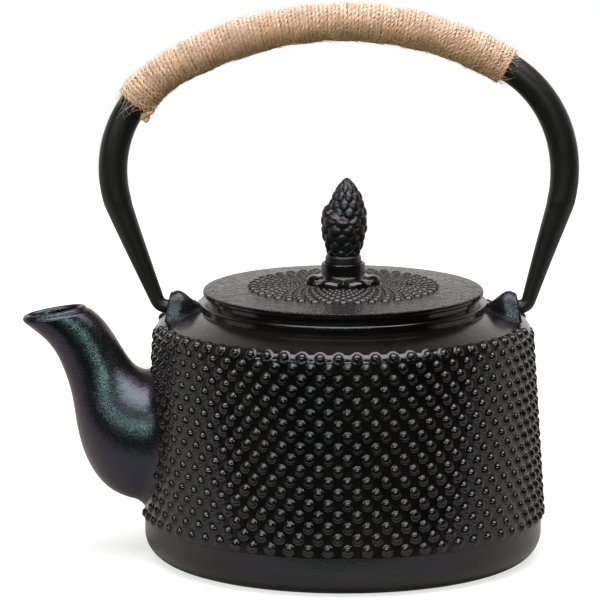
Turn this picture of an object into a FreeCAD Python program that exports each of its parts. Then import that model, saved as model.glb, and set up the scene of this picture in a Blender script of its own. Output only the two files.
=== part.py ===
"""Cast-iron teapot: bail handle bound with twine, lift-off lid with a pine-cone knob, lift-out tea infuser.

Frame: millimetres, +Z up, origin on the pot's axis at the middle of its flat base.
The spout points along -X, and the bail turns on the X axis through the two ears.
"""
import FreeCAD, Part
import math
import os

import Sketcher
from FreeCAD import Placement, Rotation, Vector

# Driving sizes in millimetres; a name that ends in degrees, share or count says otherwise
SIZES = {
    # Pot casting
    "foot_radius": 76.7,
    "foot_round": 10.0,
    "band_height": 15.2,
    "band_step": 0.4,
    "wall_top_radius": 72.1,
    "shoulder_height": 91.3,
    "shoulder_round": 4.5,
    "shoulder_rise": 5.1,
    "neck_radius": 55.0,
    "neck_rise": 3.1,
    "wall_thickness": 3.5,
    "floor_thickness": 4.0,
    "floor_round": 8.0,
    "mouth_radius": 47.5,
    "ledge_depth": 2.7,
    "ledge_width": 3.0,
    # Hobnails on the wall
    "stud_radius": 2.1,
    "stud_height": 1.1,
    "stud_seat": 0.03,
    "stud_columns_count": 65,
    "stud_rows_count": 18,
    "stud_first_rise": 2.8,
    "stud_top_share": 0.45,
    "stud_spout_gap": 0.3,
    "stud_bail_gap": 12.0,
    # Spout: the middle height and, for each station, its lower and upper edge out from the wall and up
    "spout_height": 46.5,
    "spout_port_radius": 19.0,
    "spout_root_wall": 3.2,
    "spout_lip_wall": 2.2,
    "spout_root_low_out": -9.0,
    "spout_root_low_up": 20.0,
    "spout_root_high_out": -13.0,
    "spout_root_high_up": 71.5,
    "spout_root_half_width": 24.5,
    "spout_heel_low_out": 14.8,
    "spout_heel_low_up": 25.8,
    "spout_heel_high_out": -5.0,
    "spout_heel_high_up": 71.8,
    "spout_heel_half_width": 23.0,
    "spout_belly_low_out": 26.3,
    "spout_belly_low_up": 44.5,
    "spout_belly_high_out": 2.6,
    "spout_belly_high_up": 72.6,
    "spout_belly_half_width": 17.8,
    "spout_waist_low_out": 29.4,
    "spout_waist_low_up": 61.5,
    "spout_waist_high_out": 7.5,
    "spout_waist_high_up": 76.8,
    "spout_waist_half_width": 13.2,
    "spout_rise_low_out": 33.0,
    "spout_rise_low_up": 73.7,
    "spout_rise_high_out": 12.5,
    "spout_rise_high_up": 83.9,
    "spout_rise_half_width": 11.2,
    "spout_flare_low_out": 38.8,
    "spout_flare_low_up": 83.5,
    "spout_flare_high_out": 18.4,
    "spout_flare_high_up": 92.3,
    "spout_flare_half_width": 10.2,
    "spout_lip_low_out": 49.2,
    "spout_lip_low_up": 92.4,
    "spout_lip_high_out": 24.8,
    "spout_lip_high_up": 98.0,
    "spout_lip_half_width": 9.6,
    # Ears
    "ear_inset": 4.7,
    "ear_length": 12.5,
    "ear_half_width": 6.8,
    "ear_crown_radius": 3.4,
    "ear_crown_rise": 6.1,
    "ear_tail_share": 0.45,
    "ear_tail_drop": 4.2,
    "ear_face_slant_degrees": 12.0,
    "ear_wall": 1.9,
    "ear_mouth_depth": 2.4,
    "hinge_rise": 4.5,
    # Bail handle
    "hook_radius": 2.2,
    "hook_clearance": 0.3,
    "hook_depth": 5.0,
    "hook_gap": 0.35,
    "hook_bend": 4.0,
    "leg_foot_radius": 2.7,
    "leg_length": 37.3,
    "leg_lean_degrees": 19.5,
    "handle_bend": 46.0,
    "handle_crown": 125.0,
    "handle_radius": 5.6,
    # Twine binding
    "twine_diameter": 1.6,
    "twine_gap": 0.5,
    "twine_seat": 0.1,
    "binding_turns_count": 12,
    "binding_left_reach": 20.0,
    "binding_right_reach": 1.0,
    # Lid
    "lid_radius": 54.0,
    "lid_edge_rise": 4.6,
    "lid_edge_thickness": 2.2,
    "lid_edge_round": 0.9,
    "lid_step_radius": 52.3,
    "lid_plate_thickness": 3.0,
    "lid_crown_rise": 2.3,
    "lid_pad_radius": 15.5,
    "lid_seat_width": 4.0,
    "lid_skirt_depth": 5.5,
    "lid_skirt_thickness": 2.6,
    "lid_clearance": 0.9,
    "vent_radius": 2.0,
    "vent_offset": 25.0,
    # Ring of dots on the lid
    "dot_inner_radius": 16.2,
    "dot_outer_radius": 35.0,
    "dot_rings_count": 9,
    "dot_arms_count": 40,
    "dot_width_share": 0.38,
    "dot_height_share": 0.55,
    # Knob and its fixing
    "flower_radius": 14.3,
    "flower_edge": 0.9,
    "flower_rise": 3.2,
    "flower_notch_radius": 2.6,
    "flower_petals_count": 6,
    "collar_radius": 8.4,
    "collar_height": 8.2,
    "cup_depth": 2.0,
    "knob_clearance": 0.3,
    "knob_band_radius": 6.9,
    "knob_band_height": 3.2,
    "cone_radius": 8.8,
    "cone_height": 29.6,
    "cone_foot_radius": 6.4,
    "cone_rows_count": 8,
    "cone_widest_share": 0.36,
    "cone_fullness_share": 0.6,
    "scale_depth": 1.1,
    "scale_tip_share": 0.35,
    "screw_radius": 2.0,
    "screw_clearance": 0.3,
    "thread_clearance": 0.05,
    "screw_grip": 12.0,
    "screw_end_gap": 1.0,
    "screw_head_radius": 3.8,
    "screw_head_height": 2.5,
    "washer_radius": 5.2,
    "washer_thickness": 0.8,
    # Infuser
    "infuser_clearance": 0.5,
    "infuser_sheet": 0.7,
    "infuser_seam": 0.05,
    "infuser_collar_depth": 8.0,
    "infuser_overlap": 3.0,
    "infuser_mesh_thickness": 0.6,
    "infuser_depth": 55.0,
    "infuser_base_depth": 6.0,
    "infuser_hole_radius": 1.2,
    "infuser_ring_pitch": 10.0,
    "infuser_rings_count": 3,
    "infuser_ring_holes_count": 8,
}

doc = FreeCAD.newDocument("teapot")
sheet = doc.addObject("Spreadsheet::Sheet", "Sizes")
for row, (alias, number) in enumerate(SIZES.items(), start=1):
    sheet.set(f"A{row}", alias)
    sheet.set(f"B{row}", str(number))
    sheet.setAlias(f"B{row}", alias)
doc.recompute()


class Length:
    """A size as a number together with the spreadsheet expression that gives it."""

    def __init__(self, number, formula):
        self.number = number
        self.formula = formula

    def __float__(self):
        return self.number

    def __add__(self, other):
        other = length(other)
        return Length(self.number + other.number, f"({self.formula} + {other.formula})")

    def __sub__(self, other):
        other = length(other)
        return Length(self.number - other.number, f"({self.formula} - {other.formula})")

    def __mul__(self, other):
        other = length(other)
        return Length(self.number * other.number, f"({self.formula} * {other.formula})")

    def __truediv__(self, other):
        other = length(other)
        return Length(self.number / other.number, f"({self.formula} / {other.formula})")


def length(thing):
    """A plain number as a Length; a Length stays as it is."""
    return thing if isinstance(thing, Length) else Length(float(thing), f"{thing:.9g}")


class Cells:
    """Gives each spreadsheet cell by its alias as a Length."""

    def __getattr__(self, alias):
        return Length(float(sheet.get(alias)), f"Sizes.{alias}")


size = Cells()

# Heights and radii that several pieces share
neck_foot_height = size.shoulder_height + size.shoulder_rise
mouth_height = neck_foot_height + size.neck_rise
ledge_height = mouth_height - size.ledge_depth
throat_radius = size.mouth_radius - size.ledge_width
wall_foot_radius = size.foot_radius + size.band_step
wall_foot_height = size.band_height + size.band_step
wall_slope = (wall_foot_radius - size.wall_top_radius) / (size.shoulder_height - wall_foot_height)
spout_wall_radius = wall_foot_radius - wall_slope * (size.spout_height - wall_foot_height)
shoulder_slope = size.shoulder_rise / (size.wall_top_radius - size.neck_radius)
ear_face = size.wall_top_radius - size.ear_inset
ear_foot_height = size.shoulder_height + shoulder_slope * size.ear_inset
hinge_height = ear_foot_height + size.hinge_rise
hook_bore_radius = size.hook_radius + size.hook_clearance
infuser_inner_radius = throat_radius - size.infuser_clearance - size.infuser_sheet
infuser_bottom = ledge_height - size.infuser_depth
skirt_radius = infuser_inner_radius - size.lid_clearance
lid_edge_height = mouth_height + size.lid_edge_rise
lid_top_height = lid_edge_height + size.lid_crown_rise
lid_under_height = lid_top_height - size.lid_plate_thickness
screw_hole_radius = size.screw_radius + size.screw_clearance
collar_top_height = lid_top_height + size.collar_height
cup_height = collar_top_height - size.cup_depth
cone_foot_height = collar_top_height + size.knob_band_height


def bind(thing, **properties):
    """Binds properties of a document object to spreadsheet expressions."""
    for name, amount in properties.items():
        thing.setExpression(name, length(amount).formula)


def add(kind, name, **properties):
    """A Part object with its sizes bound to the spreadsheet."""
    thing = doc.addObject(kind, name)
    bind(thing, **properties)
    return thing


def cut(name, base, *tools):
    """The base less each tool in turn."""
    for number, tool in enumerate(tools, start=1):
        step = doc.addObject("Part::Cut", name if number == len(tools) else f"{name}_cut_{number}")
        step.Base = base
        step.Tool = tool
        base = step
    return base


def origin_plane(body, role):
    """The body's own origin plane with that role, such as XZ_Plane."""
    return next(plane for plane in body.Origin.OriginFeatures if plane.Role == role)


def attached_sketch(body, role, name):
    """A sketch on one of the body's own origin planes."""
    sketch = body.newObject("Sketcher::SketchObject", name)
    sketch.AttachmentSupport = [(origin_plane(body, role), "")]
    sketch.MapMode = "FlatFace"
    return sketch


def hold(sketch, kind, amount, *places):
    """A dimension in a sketch that follows a size."""
    amount = length(amount)
    index = sketch.addConstraint(Sketcher.Constraint(kind, *places, amount.number))
    sketch.setExpression(f"Constraints[{index}]", amount.formula)


def hold_point(sketch, item, end, across, up):
    """Holds a point of an item by its two distances from the sketch's origin."""
    for kind, axis, amount in (("DistanceX", -2, length(across)), ("DistanceY", -1, length(up))):
        if amount.number == 0:
            sketch.addConstraint(Sketcher.Constraint("PointOnObject", item, end, axis))
        else:
            hold(sketch, kind, amount, -1, 1, item, end)


def draw_outline(sketch, corners):
    """A closed outline of straight lines, each corner held by two sizes."""
    corners = [(length(across), length(up)) for across, up in corners]
    points = [Vector(across.number, up.number, 0) for across, up in corners]
    count = len(points)
    for i, point in enumerate(points):
        sketch.addGeometry(Part.LineSegment(point, points[(i + 1) % count]), False)
    for i, (across, up) in enumerate(corners):
        sketch.addConstraint(Sketcher.Constraint("Coincident", i, 2, (i + 1) % count, 1))
        hold_point(sketch, i, 1, across, up)


def turned_body(label, corners):
    """A body turned about the Z axis from an outline of radius and height."""
    body = doc.addObject("PartDesign::Body", label)
    sketch = attached_sketch(body, "XZ_Plane", f"{label}_outline")
    draw_outline(sketch, corners)
    turned = body.newObject("PartDesign::Revolution", f"{label}_turned")
    turned.Profile = sketch
    turned.ReferenceAxis = (sketch, ["V_Axis"])
    turned.Angle = 360
    doc.recompute()
    return body


def ring_edges(shape, radius, height):
    """Numbers of the circular edges about the Z axis with that radius and height."""
    numbers = []
    for number, edge in enumerate(shape.Edges, start=1):
        curve = edge.Curve
        if not isinstance(curve, Part.Circle):
            continue
        miss = Vector(curve.Center.x, curve.Center.y, curve.Center.z - float(height)).Length
        if miss + abs(curve.Radius - float(radius)) < 1e-4:
            numbers.append(number)
    return numbers


def round_ring(body, name, rounding, radius, height):
    """Rounds the body's circular edge at that radius and height."""
    base = body.Tip
    fillet = body.newObject("PartDesign::Fillet", name)
    fillet.Base = (base, [f"Edge{number}" for number in ring_edges(base.Shape, radius, height)])
    bind(fillet, Radius=rounding)
    doc.recompute()


def round_pocket(body, role, name, across, up, radius, side="One side"):
    """A round hole cut through the body along the normal of one of its origin planes."""
    volume_before = body.Shape.Volume
    sketch = attached_sketch(body, role, f"{name}_outline")
    centre = Vector(float(across), float(up), 0)
    sketch.addGeometry(Part.Circle(centre, Vector(0, 0, 1), float(radius)), False)
    hold(sketch, "Radius", radius, 0)
    hold_point(sketch, 0, 3, across, up)
    pocket = body.newObject("PartDesign::Pocket", name)
    pocket.Profile = sketch
    pocket.Type = "ThroughAll"
    pocket.SideType = side
    doc.recompute()
    if body.Shape.Volume >= volume_before:
        raise RuntimeError(f"{name} cut nothing")
    return pocket


def polar_pattern(body, feature, name, count):
    """Repeats a feature evenly about the Z axis."""
    pattern = body.newObject("PartDesign::PolarPattern", name)
    pattern.Originals = [feature]
    pattern.Axis = (origin_plane(body, "Z_Axis"), [""])
    pattern.Angle = 360
    bind(pattern, Occurrences=count)
    body.Tip = pattern
    doc.recompute()


QUARTER_TURN = math.pi / 2

# Pot: a turned shell in three stages: a footed base, a tapered wall, and a shoulder with neck and ledge
inner_foot_radius = wall_foot_radius - size.wall_thickness
wall_end_height = size.shoulder_height - size.shoulder_round
wall_end_radius = wall_foot_radius - wall_slope * (wall_end_height - wall_foot_height)


def make_pot_base():
    body = turned_body("pot_base", [
        (0, 0),
        (size.foot_radius, 0),
        (size.foot_radius, size.band_height),
        (inner_foot_radius, size.band_height),
        (inner_foot_radius, size.floor_thickness),
        (0, size.floor_thickness),
    ])
    round_ring(body, "foot_edge", size.foot_round, size.foot_radius, 0)
    round_ring(body, "floor_edge", size.floor_round, inner_foot_radius, size.floor_thickness)
    return body


def make_pot_wall():
    body = turned_body("pot_wall", [
        (inner_foot_radius, size.band_height),
        (size.foot_radius, size.band_height),
        (wall_foot_radius, wall_foot_height),
        (wall_end_radius, wall_end_height),
        (wall_end_radius - size.wall_thickness, wall_end_height),
    ])
    round_pocket(body, "YZ_Plane", "spout_port", 0, size.spout_height, size.spout_port_radius)
    return body


def make_pot_shoulder():
    wall = size.wall_thickness
    body = turned_body("pot_shoulder", [
        (wall_end_radius - wall, wall_end_height),
        (wall_end_radius, wall_end_height),
        (size.wall_top_radius, size.shoulder_height),
        (size.neck_radius, neck_foot_height),
        (size.neck_radius, mouth_height),
        (size.mouth_radius, mouth_height),
        (size.mouth_radius, ledge_height),
        (throat_radius, ledge_height),
        (throat_radius, neck_foot_height - wall),
        (size.wall_top_radius - wall, size.shoulder_height - wall),
    ])
    round_ring(body, "shoulder_edge", size.shoulder_round, size.wall_top_radius, size.shoulder_height)
    return body


def make_pot_envelope():
    """The outer form of wall and shoulder as a full solid, which trims what is cast onto them."""
    body = turned_body("pot_envelope", [
        (0, size.band_height),
        (size.foot_radius, size.band_height),
        (wall_foot_radius, wall_foot_height),
        (size.wall_top_radius, size.shoulder_height),
        (size.neck_radius, neck_foot_height),
        (size.neck_radius, mouth_height),
        (0, mouth_height),
    ])
    round_ring(
        body, "envelope_shoulder_edge", size.shoulder_round, size.wall_top_radius, size.shoulder_height
    )
    return body


# Hobnails: staggered rows of low domes on the wall, from the foot band up to the shoulder's edge
def make_dome(name, radius, height):
    """A low dome as the cap of a ball, and how far its flat base lies from the ball's middle."""
    ball = (radius * radius + height * height) / (height * 2)
    dome = add("Part::Sphere", name, Radius=ball)
    dome.setExpression("Angle1", f"asin(1 - {height.formula} / {ball.formula})")
    doc.recompute()
    return dome.Shape, float(ball - height)


def seated_dome(dome, base_offset, spot, outward):
    """A copy of a dome whose base lies just off a spot of a surface and faces outwards."""
    middle = spot + outward * (float(size.stud_seat) - base_offset)
    place = Placement(middle, Rotation(Vector(0, 0, 1), outward))
    return dome.transformed(place.toMatrix(), True)


def outer_line():
    """The wall's lean, the run up its straight part, and the turn of the shoulder's edge after it."""
    lean = math.atan(float(wall_slope))
    turn = QUARTER_TURN - math.atan(float(shoulder_slope)) - lean
    corner = math.hypot(
        float(wall_foot_radius - size.wall_top_radius), float(size.shoulder_height - wall_foot_height)
    )
    return lean, corner - float(size.shoulder_round) * math.tan(turn / 2), turn


def outer_point(run):
    """Radius, height and upward tilt of the outer surface at a run up the wall and round its top edge."""
    lean, straight, _ = outer_line()
    along = min(run, straight)
    radius = float(wall_foot_radius) - along * math.sin(lean)
    height = float(wall_foot_height) + along * math.cos(lean)
    rounding = float(size.shoulder_round)
    tilt = lean + (run - along) / rounding
    radius += rounding * (math.cos(tilt) - math.cos(lean))
    height += rounding * (math.sin(tilt) - math.sin(lean))
    return radius, height, tilt


def make_hobnails():
    """Every stud but those in the spout's place and, in the top row, those under a lowered bail."""
    dome, base_offset = make_dome("hobnail", size.stud_radius, size.stud_height)
    rows, columns = int(float(size.stud_rows_count)), int(float(size.stud_columns_count))
    _, straight, turn = outer_line()
    first = float(size.stud_first_rise)
    last = straight + float(size.shoulder_round) * turn * float(size.stud_top_share)
    clear = float(size.stud_radius + size.stud_spout_gap)
    spout_middle = float(size.spout_root_low_up + size.spout_root_high_up) / 2
    clear_height = float(size.spout_root_high_up) - spout_middle + clear
    clear_width = float(size.spout_root_half_width) + clear
    bail_gap = float(size.stud_bail_gap)
    studs = []
    for row in range(rows):
        radius, height, tilt = outer_point(first + (last - first) * row / (rows - 1))
        for column in range(columns):
            around = 2 * math.pi * (column + row % 2 / 2) / columns
            level = Vector(math.cos(around), math.sin(around), 0)
            spot = level * radius + Vector(0, 0, height)
            beside = math.hypot(spot.y / clear_width, (height - spout_middle) / clear_height)
            in_spout = spot.x < 0 and beside < 1
            under_bail = row == rows - 1 and abs(spot.y) < bail_gap
            if in_spout or under_bail:
                continue
            outward = level * math.cos(tilt) + Vector(0, 0, math.sin(tilt))
            studs.append(seated_dome(dome, base_offset, spot, outward))
    hobnails = doc.addObject("Part::Feature", "hobnails")
    hobnails.Shape = Part.makeCompound(studs)
    hobnails.Placement = Placement()
    return hobnails


# Spout: a hollow S-shaped horn lofted through ellipses from inside the wall to the sloping lip
SPOUT_STATIONS = ["root", "heel", "belly", "waist", "rise", "flare", "lip"]
BORE_OVERRUN = 2.0


def spout_section(name, station, wall, overrun):
    """An ellipse across the spout at a station, drawn in by a wall and moved on along the spout.

    It is drawn as four quarters, so that a loft keeps the same quarters in line from end to end.
    """
    low_out, low_up, high_out, high_up, half_width = (
        float(getattr(size, f"spout_{station}_{what}"))
        for what in ("low_out", "low_up", "high_out", "high_up", "half_width")
    )
    half_height = math.hypot(low_out - high_out, high_up - low_up) / 2
    ellipse = Part.Ellipse(Vector(), max(half_height, half_width) - wall, half_width - wall)
    section = doc.addObject("Part::Feature", f"{name}_{station}")
    section.Shape = Part.Wire([
        Part.ArcOfEllipse(ellipse, QUARTER_TURN * quarter, QUARTER_TURN * (quarter + 1)).toShape()
        for quarter in range(4)
    ])
    across = Vector(low_out - high_out, 0, high_up - low_up).normalize()
    side = Vector(0, 1, 0)
    onward = across.cross(side)
    middle_out = float(spout_wall_radius) + (low_out + high_out) / 2
    middle = Vector(-middle_out, 0, (low_up + high_up) / 2)
    section.Placement = Placement(middle + onward * overrun, Rotation(across, side, onward, "ZXY"))
    return section


def loft_spout(name, root_wall, lip_wall, overrun):
    """The horn drawn in by a wall that thins towards the lip, run on past both ends by an overrun."""
    last = len(SPOUT_STATIONS) - 1
    sections = []
    for number, station in enumerate(SPOUT_STATIONS):
        wall = root_wall + (lip_wall - root_wall) * number / last
        beyond = {0: -overrun, last: overrun}.get(number, 0)
        sections.append(spout_section(name, station, wall, beyond))
    loft = doc.addObject("Part::Loft", name)
    loft.Sections = sections
    loft.Solid = True
    loft.MaxDegree = 3
    return loft


def make_spout(envelope):
    horn = loft_spout("spout_horn", 0, 0, 0)
    bore = loft_spout("spout_bore", float(size.spout_root_wall), float(size.spout_lip_wall), BORE_OVERRUN)
    return cut("spout", horn, bore, envelope)


# Ears: two tapered hoods on the shoulder, open to the outside, each with an eye for a hook of the handle
def draw_arch(name, half_width, crown_radius, crown_rise, foot_drop):
    """A sketch of an arch: a level foot, and two sides that run tangent into a round crown."""
    sketch = doc.addObject("Sketcher::SketchObject", name)
    half, crown = float(half_width), float(crown_radius)
    middle, foot = float(crown_rise) - crown, -float(foot_drop)
    reach = math.hypot(half, middle - foot)
    lean = math.atan2(middle - foot, -half) - math.asin(crown / reach)
    side = math.sqrt(reach**2 - crown**2)
    touch = Vector(half + side * math.cos(lean), foot + side * math.sin(lean), 0)
    touch_left = Vector(-touch.x, touch.y, 0)
    foot_right, foot_left = Vector(half, foot, 0), Vector(-half, foot, 0)
    sketch.addGeometry(Part.LineSegment(foot_left, foot_right), False)
    sketch.addGeometry(Part.LineSegment(foot_right, touch), False)
    sketch.addGeometry(Part.Arc(touch, Vector(0, middle + crown, 0), touch_left), False)
    sketch.addGeometry(Part.LineSegment(touch_left, foot_left), False)
    sketch.addConstraint(Sketcher.Constraint("Coincident", 0, 2, 1, 1))
    sketch.addConstraint(Sketcher.Constraint("Tangent", 1, 2, 2, 1))
    sketch.addConstraint(Sketcher.Constraint("Tangent", 2, 2, 3, 1))
    sketch.addConstraint(Sketcher.Constraint("Coincident", 3, 2, 0, 1))
    sketch.addConstraint(Sketcher.Constraint("Symmetric", 0, 1, 0, 2, -2))
    hold(sketch, "DistanceX", half_width, -1, 1, 0, 2)
    hold(sketch, "DistanceY", foot_drop, 0, 2, -1, 1)
    hold(sketch, "Radius", crown_radius, 2)
    hold_point(sketch, 2, 3, 0, crown_rise - crown_radius)
    return sketch


def loft_arches(name, first, last, inwards):
    """A ruled loft from the arch at the ear's face to one further in, both leaning with the face."""
    slant = Rotation(Vector(0, 1, 0), -float(size.ear_face_slant_degrees))
    upright = slant.multiply(Rotation(Vector(1, 1, 1), 120))
    rise = float(size.hinge_rise) * math.tan(math.radians(float(size.ear_face_slant_degrees)))
    face = Vector(float(ear_face) - rise, 0, float(hinge_height))
    first.Placement = Placement(face, upright)
    last.Placement = Placement(face - Vector(float(inwards), 0, 0), upright)
    loft = doc.addObject("Part::Loft", name)
    loft.Sections = [first, last]
    loft.Solid = True
    loft.Ruled = True
    return loft


def make_ear(label, turn_degrees, envelope):
    """One ear on the +X side, turned about the pot's axis to its place."""
    root_drop = size.hinge_rise + size.shoulder_rise
    tail_share = size.ear_tail_share
    tail_rise = size.ear_crown_rise - size.ear_tail_drop
    hood = loft_arches(
        f"{label}_hood",
        draw_arch(
            f"{label}_face", size.ear_half_width, size.ear_crown_radius, size.ear_crown_rise, root_drop
        ),
        draw_arch(
            f"{label}_tail",
            size.ear_half_width * tail_share,
            size.ear_crown_radius * tail_share,
            tail_rise,
            root_drop,
        ),
        size.ear_length,
    )
    inset = [
        size.ear_half_width - size.ear_wall,
        size.ear_crown_radius - size.ear_wall * tail_share,
        size.ear_crown_rise - size.ear_wall,
        root_drop,
    ]
    mouth_face = draw_arch(f"{label}_mouth_face", *inset)
    mouth_end = draw_arch(f"{label}_mouth_end", *inset)
    mouth = loft_arches(f"{label}_mouth", mouth_face, mouth_end, size.ear_mouth_depth)
    eye_depth = size.hook_depth + size.hook_clearance * 2
    eye = add("Part::Cylinder", f"{label}_eye", Radius=hook_bore_radius, Height=eye_depth)
    eye.Placement = Placement(
        Vector(float(ear_face - eye_depth), 0, float(hinge_height)), Rotation(Vector(0, 1, 0), 90)
    )
    ear = cut(label, hood, mouth, eye, envelope)
    ear.Placement = Placement(Vector(), Rotation(Vector(0, 0, 1), turn_degrees))
    return ear


# Bail handle: hooks, tapered legs, two bends and a wide crown, all in the XZ plane
class HandleLine:
    """The middle line of the handle's +X half, as points, centres and angles in the XZ plane."""

    def __init__(self):
        lean = math.radians(float(size.leg_lean_degrees))
        self.lean_degrees = float(size.leg_lean_degrees)
        self.hook_tip = Vector(float(ear_face - size.hook_depth), 0, float(hinge_height))
        self.hook_end = Vector(float(ear_face + size.hook_gap), 0, float(hinge_height))
        bend = float(size.hook_bend)
        self.hook_centre = self.hook_end + Vector(0, 0, bend)
        self.leg_foot = self.hook_centre + Vector(bend * math.cos(lean), 0, -bend * math.sin(lean))
        climb = Vector(math.sin(lean), 0, math.cos(lean))
        self.leg_head = self.leg_foot + climb * float(size.leg_length)
        self.bend_radius = float(size.handle_bend)
        inward = Vector(-math.cos(lean), 0, math.sin(lean))
        self.bend_centre = self.leg_head + inward * self.bend_radius
        self.crown_radius = float(size.handle_crown)
        spread = self.crown_radius - self.bend_radius
        self.half_angle = math.asin(self.bend_centre.x / spread)
        drop = spread * math.cos(self.half_angle)
        self.crown_centre = Vector(0, 0, self.bend_centre.z - drop)
        self.join_degrees = 90 - math.degrees(self.half_angle)
        self.join_distance = self.crown_radius * self.half_angle

    def point(self, distance):
        """Point, direction and outward side at a distance along the line from the crown, + towards +X."""
        side = 1 if distance >= 0 else -1
        past_join = abs(distance) - self.join_distance
        if past_join <= 0:
            angle, radius, centre = abs(distance) / self.crown_radius, self.crown_radius, self.crown_centre
        else:
            angle = self.half_angle + past_join / self.bend_radius
            radius, centre = self.bend_radius, self.bend_centre
        outward = Vector(side * math.sin(angle), 0, math.cos(angle))
        along = Vector(math.cos(angle), 0, -side * math.sin(angle))
        return Vector(side * centre.x, 0, centre.z) + outward * radius, along, outward


def upright_frame(angle_degrees):
    """Lays local X at that angle in the XZ plane, local Y a quarter turn on, and local Z along -Y."""
    turn = math.radians(angle_degrees)
    across = Vector(math.cos(turn), 0, math.sin(turn))
    onward = Vector(-math.sin(turn), 0, math.cos(turn))
    return Rotation(across, onward, Vector(0, -1, 0), "ZXY")


def bent_bar(name, bend_radius, bar_radius, centre, start_degrees, end_degrees):
    """A round bar bent in the XZ plane about a centre, from one angle to another."""
    bar = add("Part::Torus", name, Radius1=bend_radius, Radius2=bar_radius)
    bar.Angle3 = end_degrees - start_degrees
    bar.Placement = Placement(centre, upright_frame(start_degrees))
    return bar


def half_turn():
    """Half a turn about the pot's axis, which takes the +X side to the -X side."""
    return Placement(Vector(), Rotation(Vector(0, 0, 1), 180))


def make_leg(name, line):
    """The tapered leg: a sweep with a round section at each end along the lower bend and the straight."""
    start = line.bend_centre + Vector(line.bend_radius, 0, 0)
    half_lean = math.radians(line.lean_degrees / 2)
    middle = line.bend_centre + Vector(math.cos(half_lean), 0, -math.sin(half_lean)) * line.bend_radius
    spine = doc.addObject("Part::Feature", f"{name}_line")
    spine.Shape = Part.Wire([
        Part.Arc(start, middle, line.leg_head).toShape(),
        Part.LineSegment(line.leg_head, line.leg_foot).toShape(),
    ])
    head = add("Part::Circle", f"{name}_head", Radius=size.handle_radius)
    head.Placement = Placement(start, Rotation(Vector(0, 0, 1), Vector(0, 0, -1)))
    foot = add("Part::Circle", f"{name}_foot", Radius=size.leg_foot_radius)
    foot.Placement = Placement(line.leg_foot, Rotation(Vector(0, 0, 1), line.leg_foot - line.leg_head))
    leg = doc.addObject("Part::Sweep", name)
    leg.Sections = [head, foot]
    leg.Spine = (spine, ["Edge1", "Edge2"])
    leg.Solid = True
    return leg


def make_handle_side(name, line):
    """Hook, hook bend, leg and bend of the handle's +X side."""
    hook = add(
        "Part::Cylinder", f"{name}_hook", Radius=size.hook_radius, Height=size.hook_depth + size.hook_gap
    )
    hook.Placement = Placement(line.hook_tip, Rotation(Vector(0, 1, 0), 90))
    return [
        hook,
        bent_bar(
            f"{name}_hook_bend",
            size.hook_bend,
            size.leg_foot_radius,
            line.hook_centre,
            -90,
            -line.lean_degrees,
        ),
        make_leg(f"{name}_leg", line),
        bent_bar(
            f"{name}_bend", size.handle_bend, size.handle_radius, line.bend_centre, 0, line.join_degrees
        ),
    ]


def make_handle_bar(line):
    crown = bent_bar(
        "handle_crown",
        size.handle_crown,
        size.handle_radius,
        line.crown_centre,
        line.join_degrees,
        180 - line.join_degrees,
    )
    right = doc.addObject("Part::MultiFuse", "handle_right_side")
    right.Shapes = make_handle_side("right", line)
    left = doc.addObject("Part::MultiFuse", "handle_left_side")
    left.Shapes = make_handle_side("left", line)
    left.Placement = half_turn()
    bar = doc.addObject("Part::MultiFuse", "handle_bar")
    bar.Shapes = [crown, right, left]
    return bar


# Twine binding: a plain grip over the crown, and at each end of it the real turns of the twine
GRIP_END_GAP = 0.6
GAP_SAMPLES_PER_TURN = 48
HEADING_STEP = 1e-4


class Binding:
    """Where the binding starts and ends along the handle, and how its turns are spaced."""

    def __init__(self, line):
        turns = float(size.binding_turns_count)
        self.turn_radius = float(size.handle_radius + size.twine_seat + size.twine_diameter / 2)
        spacing = float(size.twine_diameter + size.twine_gap)
        self.left_pitch = spacing / (1 - self.turn_radius / line.bend_radius)
        self.right_pitch = spacing / (1 - self.turn_radius / line.crown_radius)
        self.left_end = -line.join_distance - float(size.binding_left_reach)
        self.right_end = line.join_distance - float(size.binding_right_reach)
        room = float(size.twine_diameter) / 2 + GRIP_END_GAP
        self.grip_left = self.left_end + self.left_pitch * turns + room
        self.grip_right = self.right_end - self.right_pitch * turns - room


def make_grip(line, binding):
    """The grip as a bent sleeve round the crown of the bar."""
    start = 90 - math.degrees(binding.grip_right / line.crown_radius)
    end = 90 - math.degrees(binding.grip_left / line.crown_radius)
    sleeve_radius = size.handle_radius + size.twine_seat + size.twine_diameter
    room_radius = size.handle_radius + size.twine_seat
    sleeve = bent_bar("grip_sleeve", size.handle_crown, sleeve_radius, line.crown_centre, start, end)
    room = bent_bar("grip_room", size.handle_crown, room_radius, line.crown_centre, start - 1, end + 1)
    return cut("grip_binding", sleeve, room)


def turn_point(line, binding, end, pitch, turn):
    """Point of the wound twine after so many turns from one end of the binding."""
    middle, _, outward = line.point(end + pitch * turn)
    around = 2 * math.pi * turn
    side = Vector(0, 1, 0)
    return middle + (outward * math.cos(around) + side * math.sin(around)) * binding.turn_radius


def arc_from(start, heading, end):
    """The arc from a point with a given heading to another point."""
    chord = end - start
    half = chord.Length / 2
    chord_way = Vector(chord).normalize()
    bulge = heading - chord_way * heading.dot(chord_way)
    rise = half * math.tan(heading.getAngle(chord_way) / 2)
    return Part.Arc(start, start + chord / 2 + bulge.normalize() * rise, end)


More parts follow.
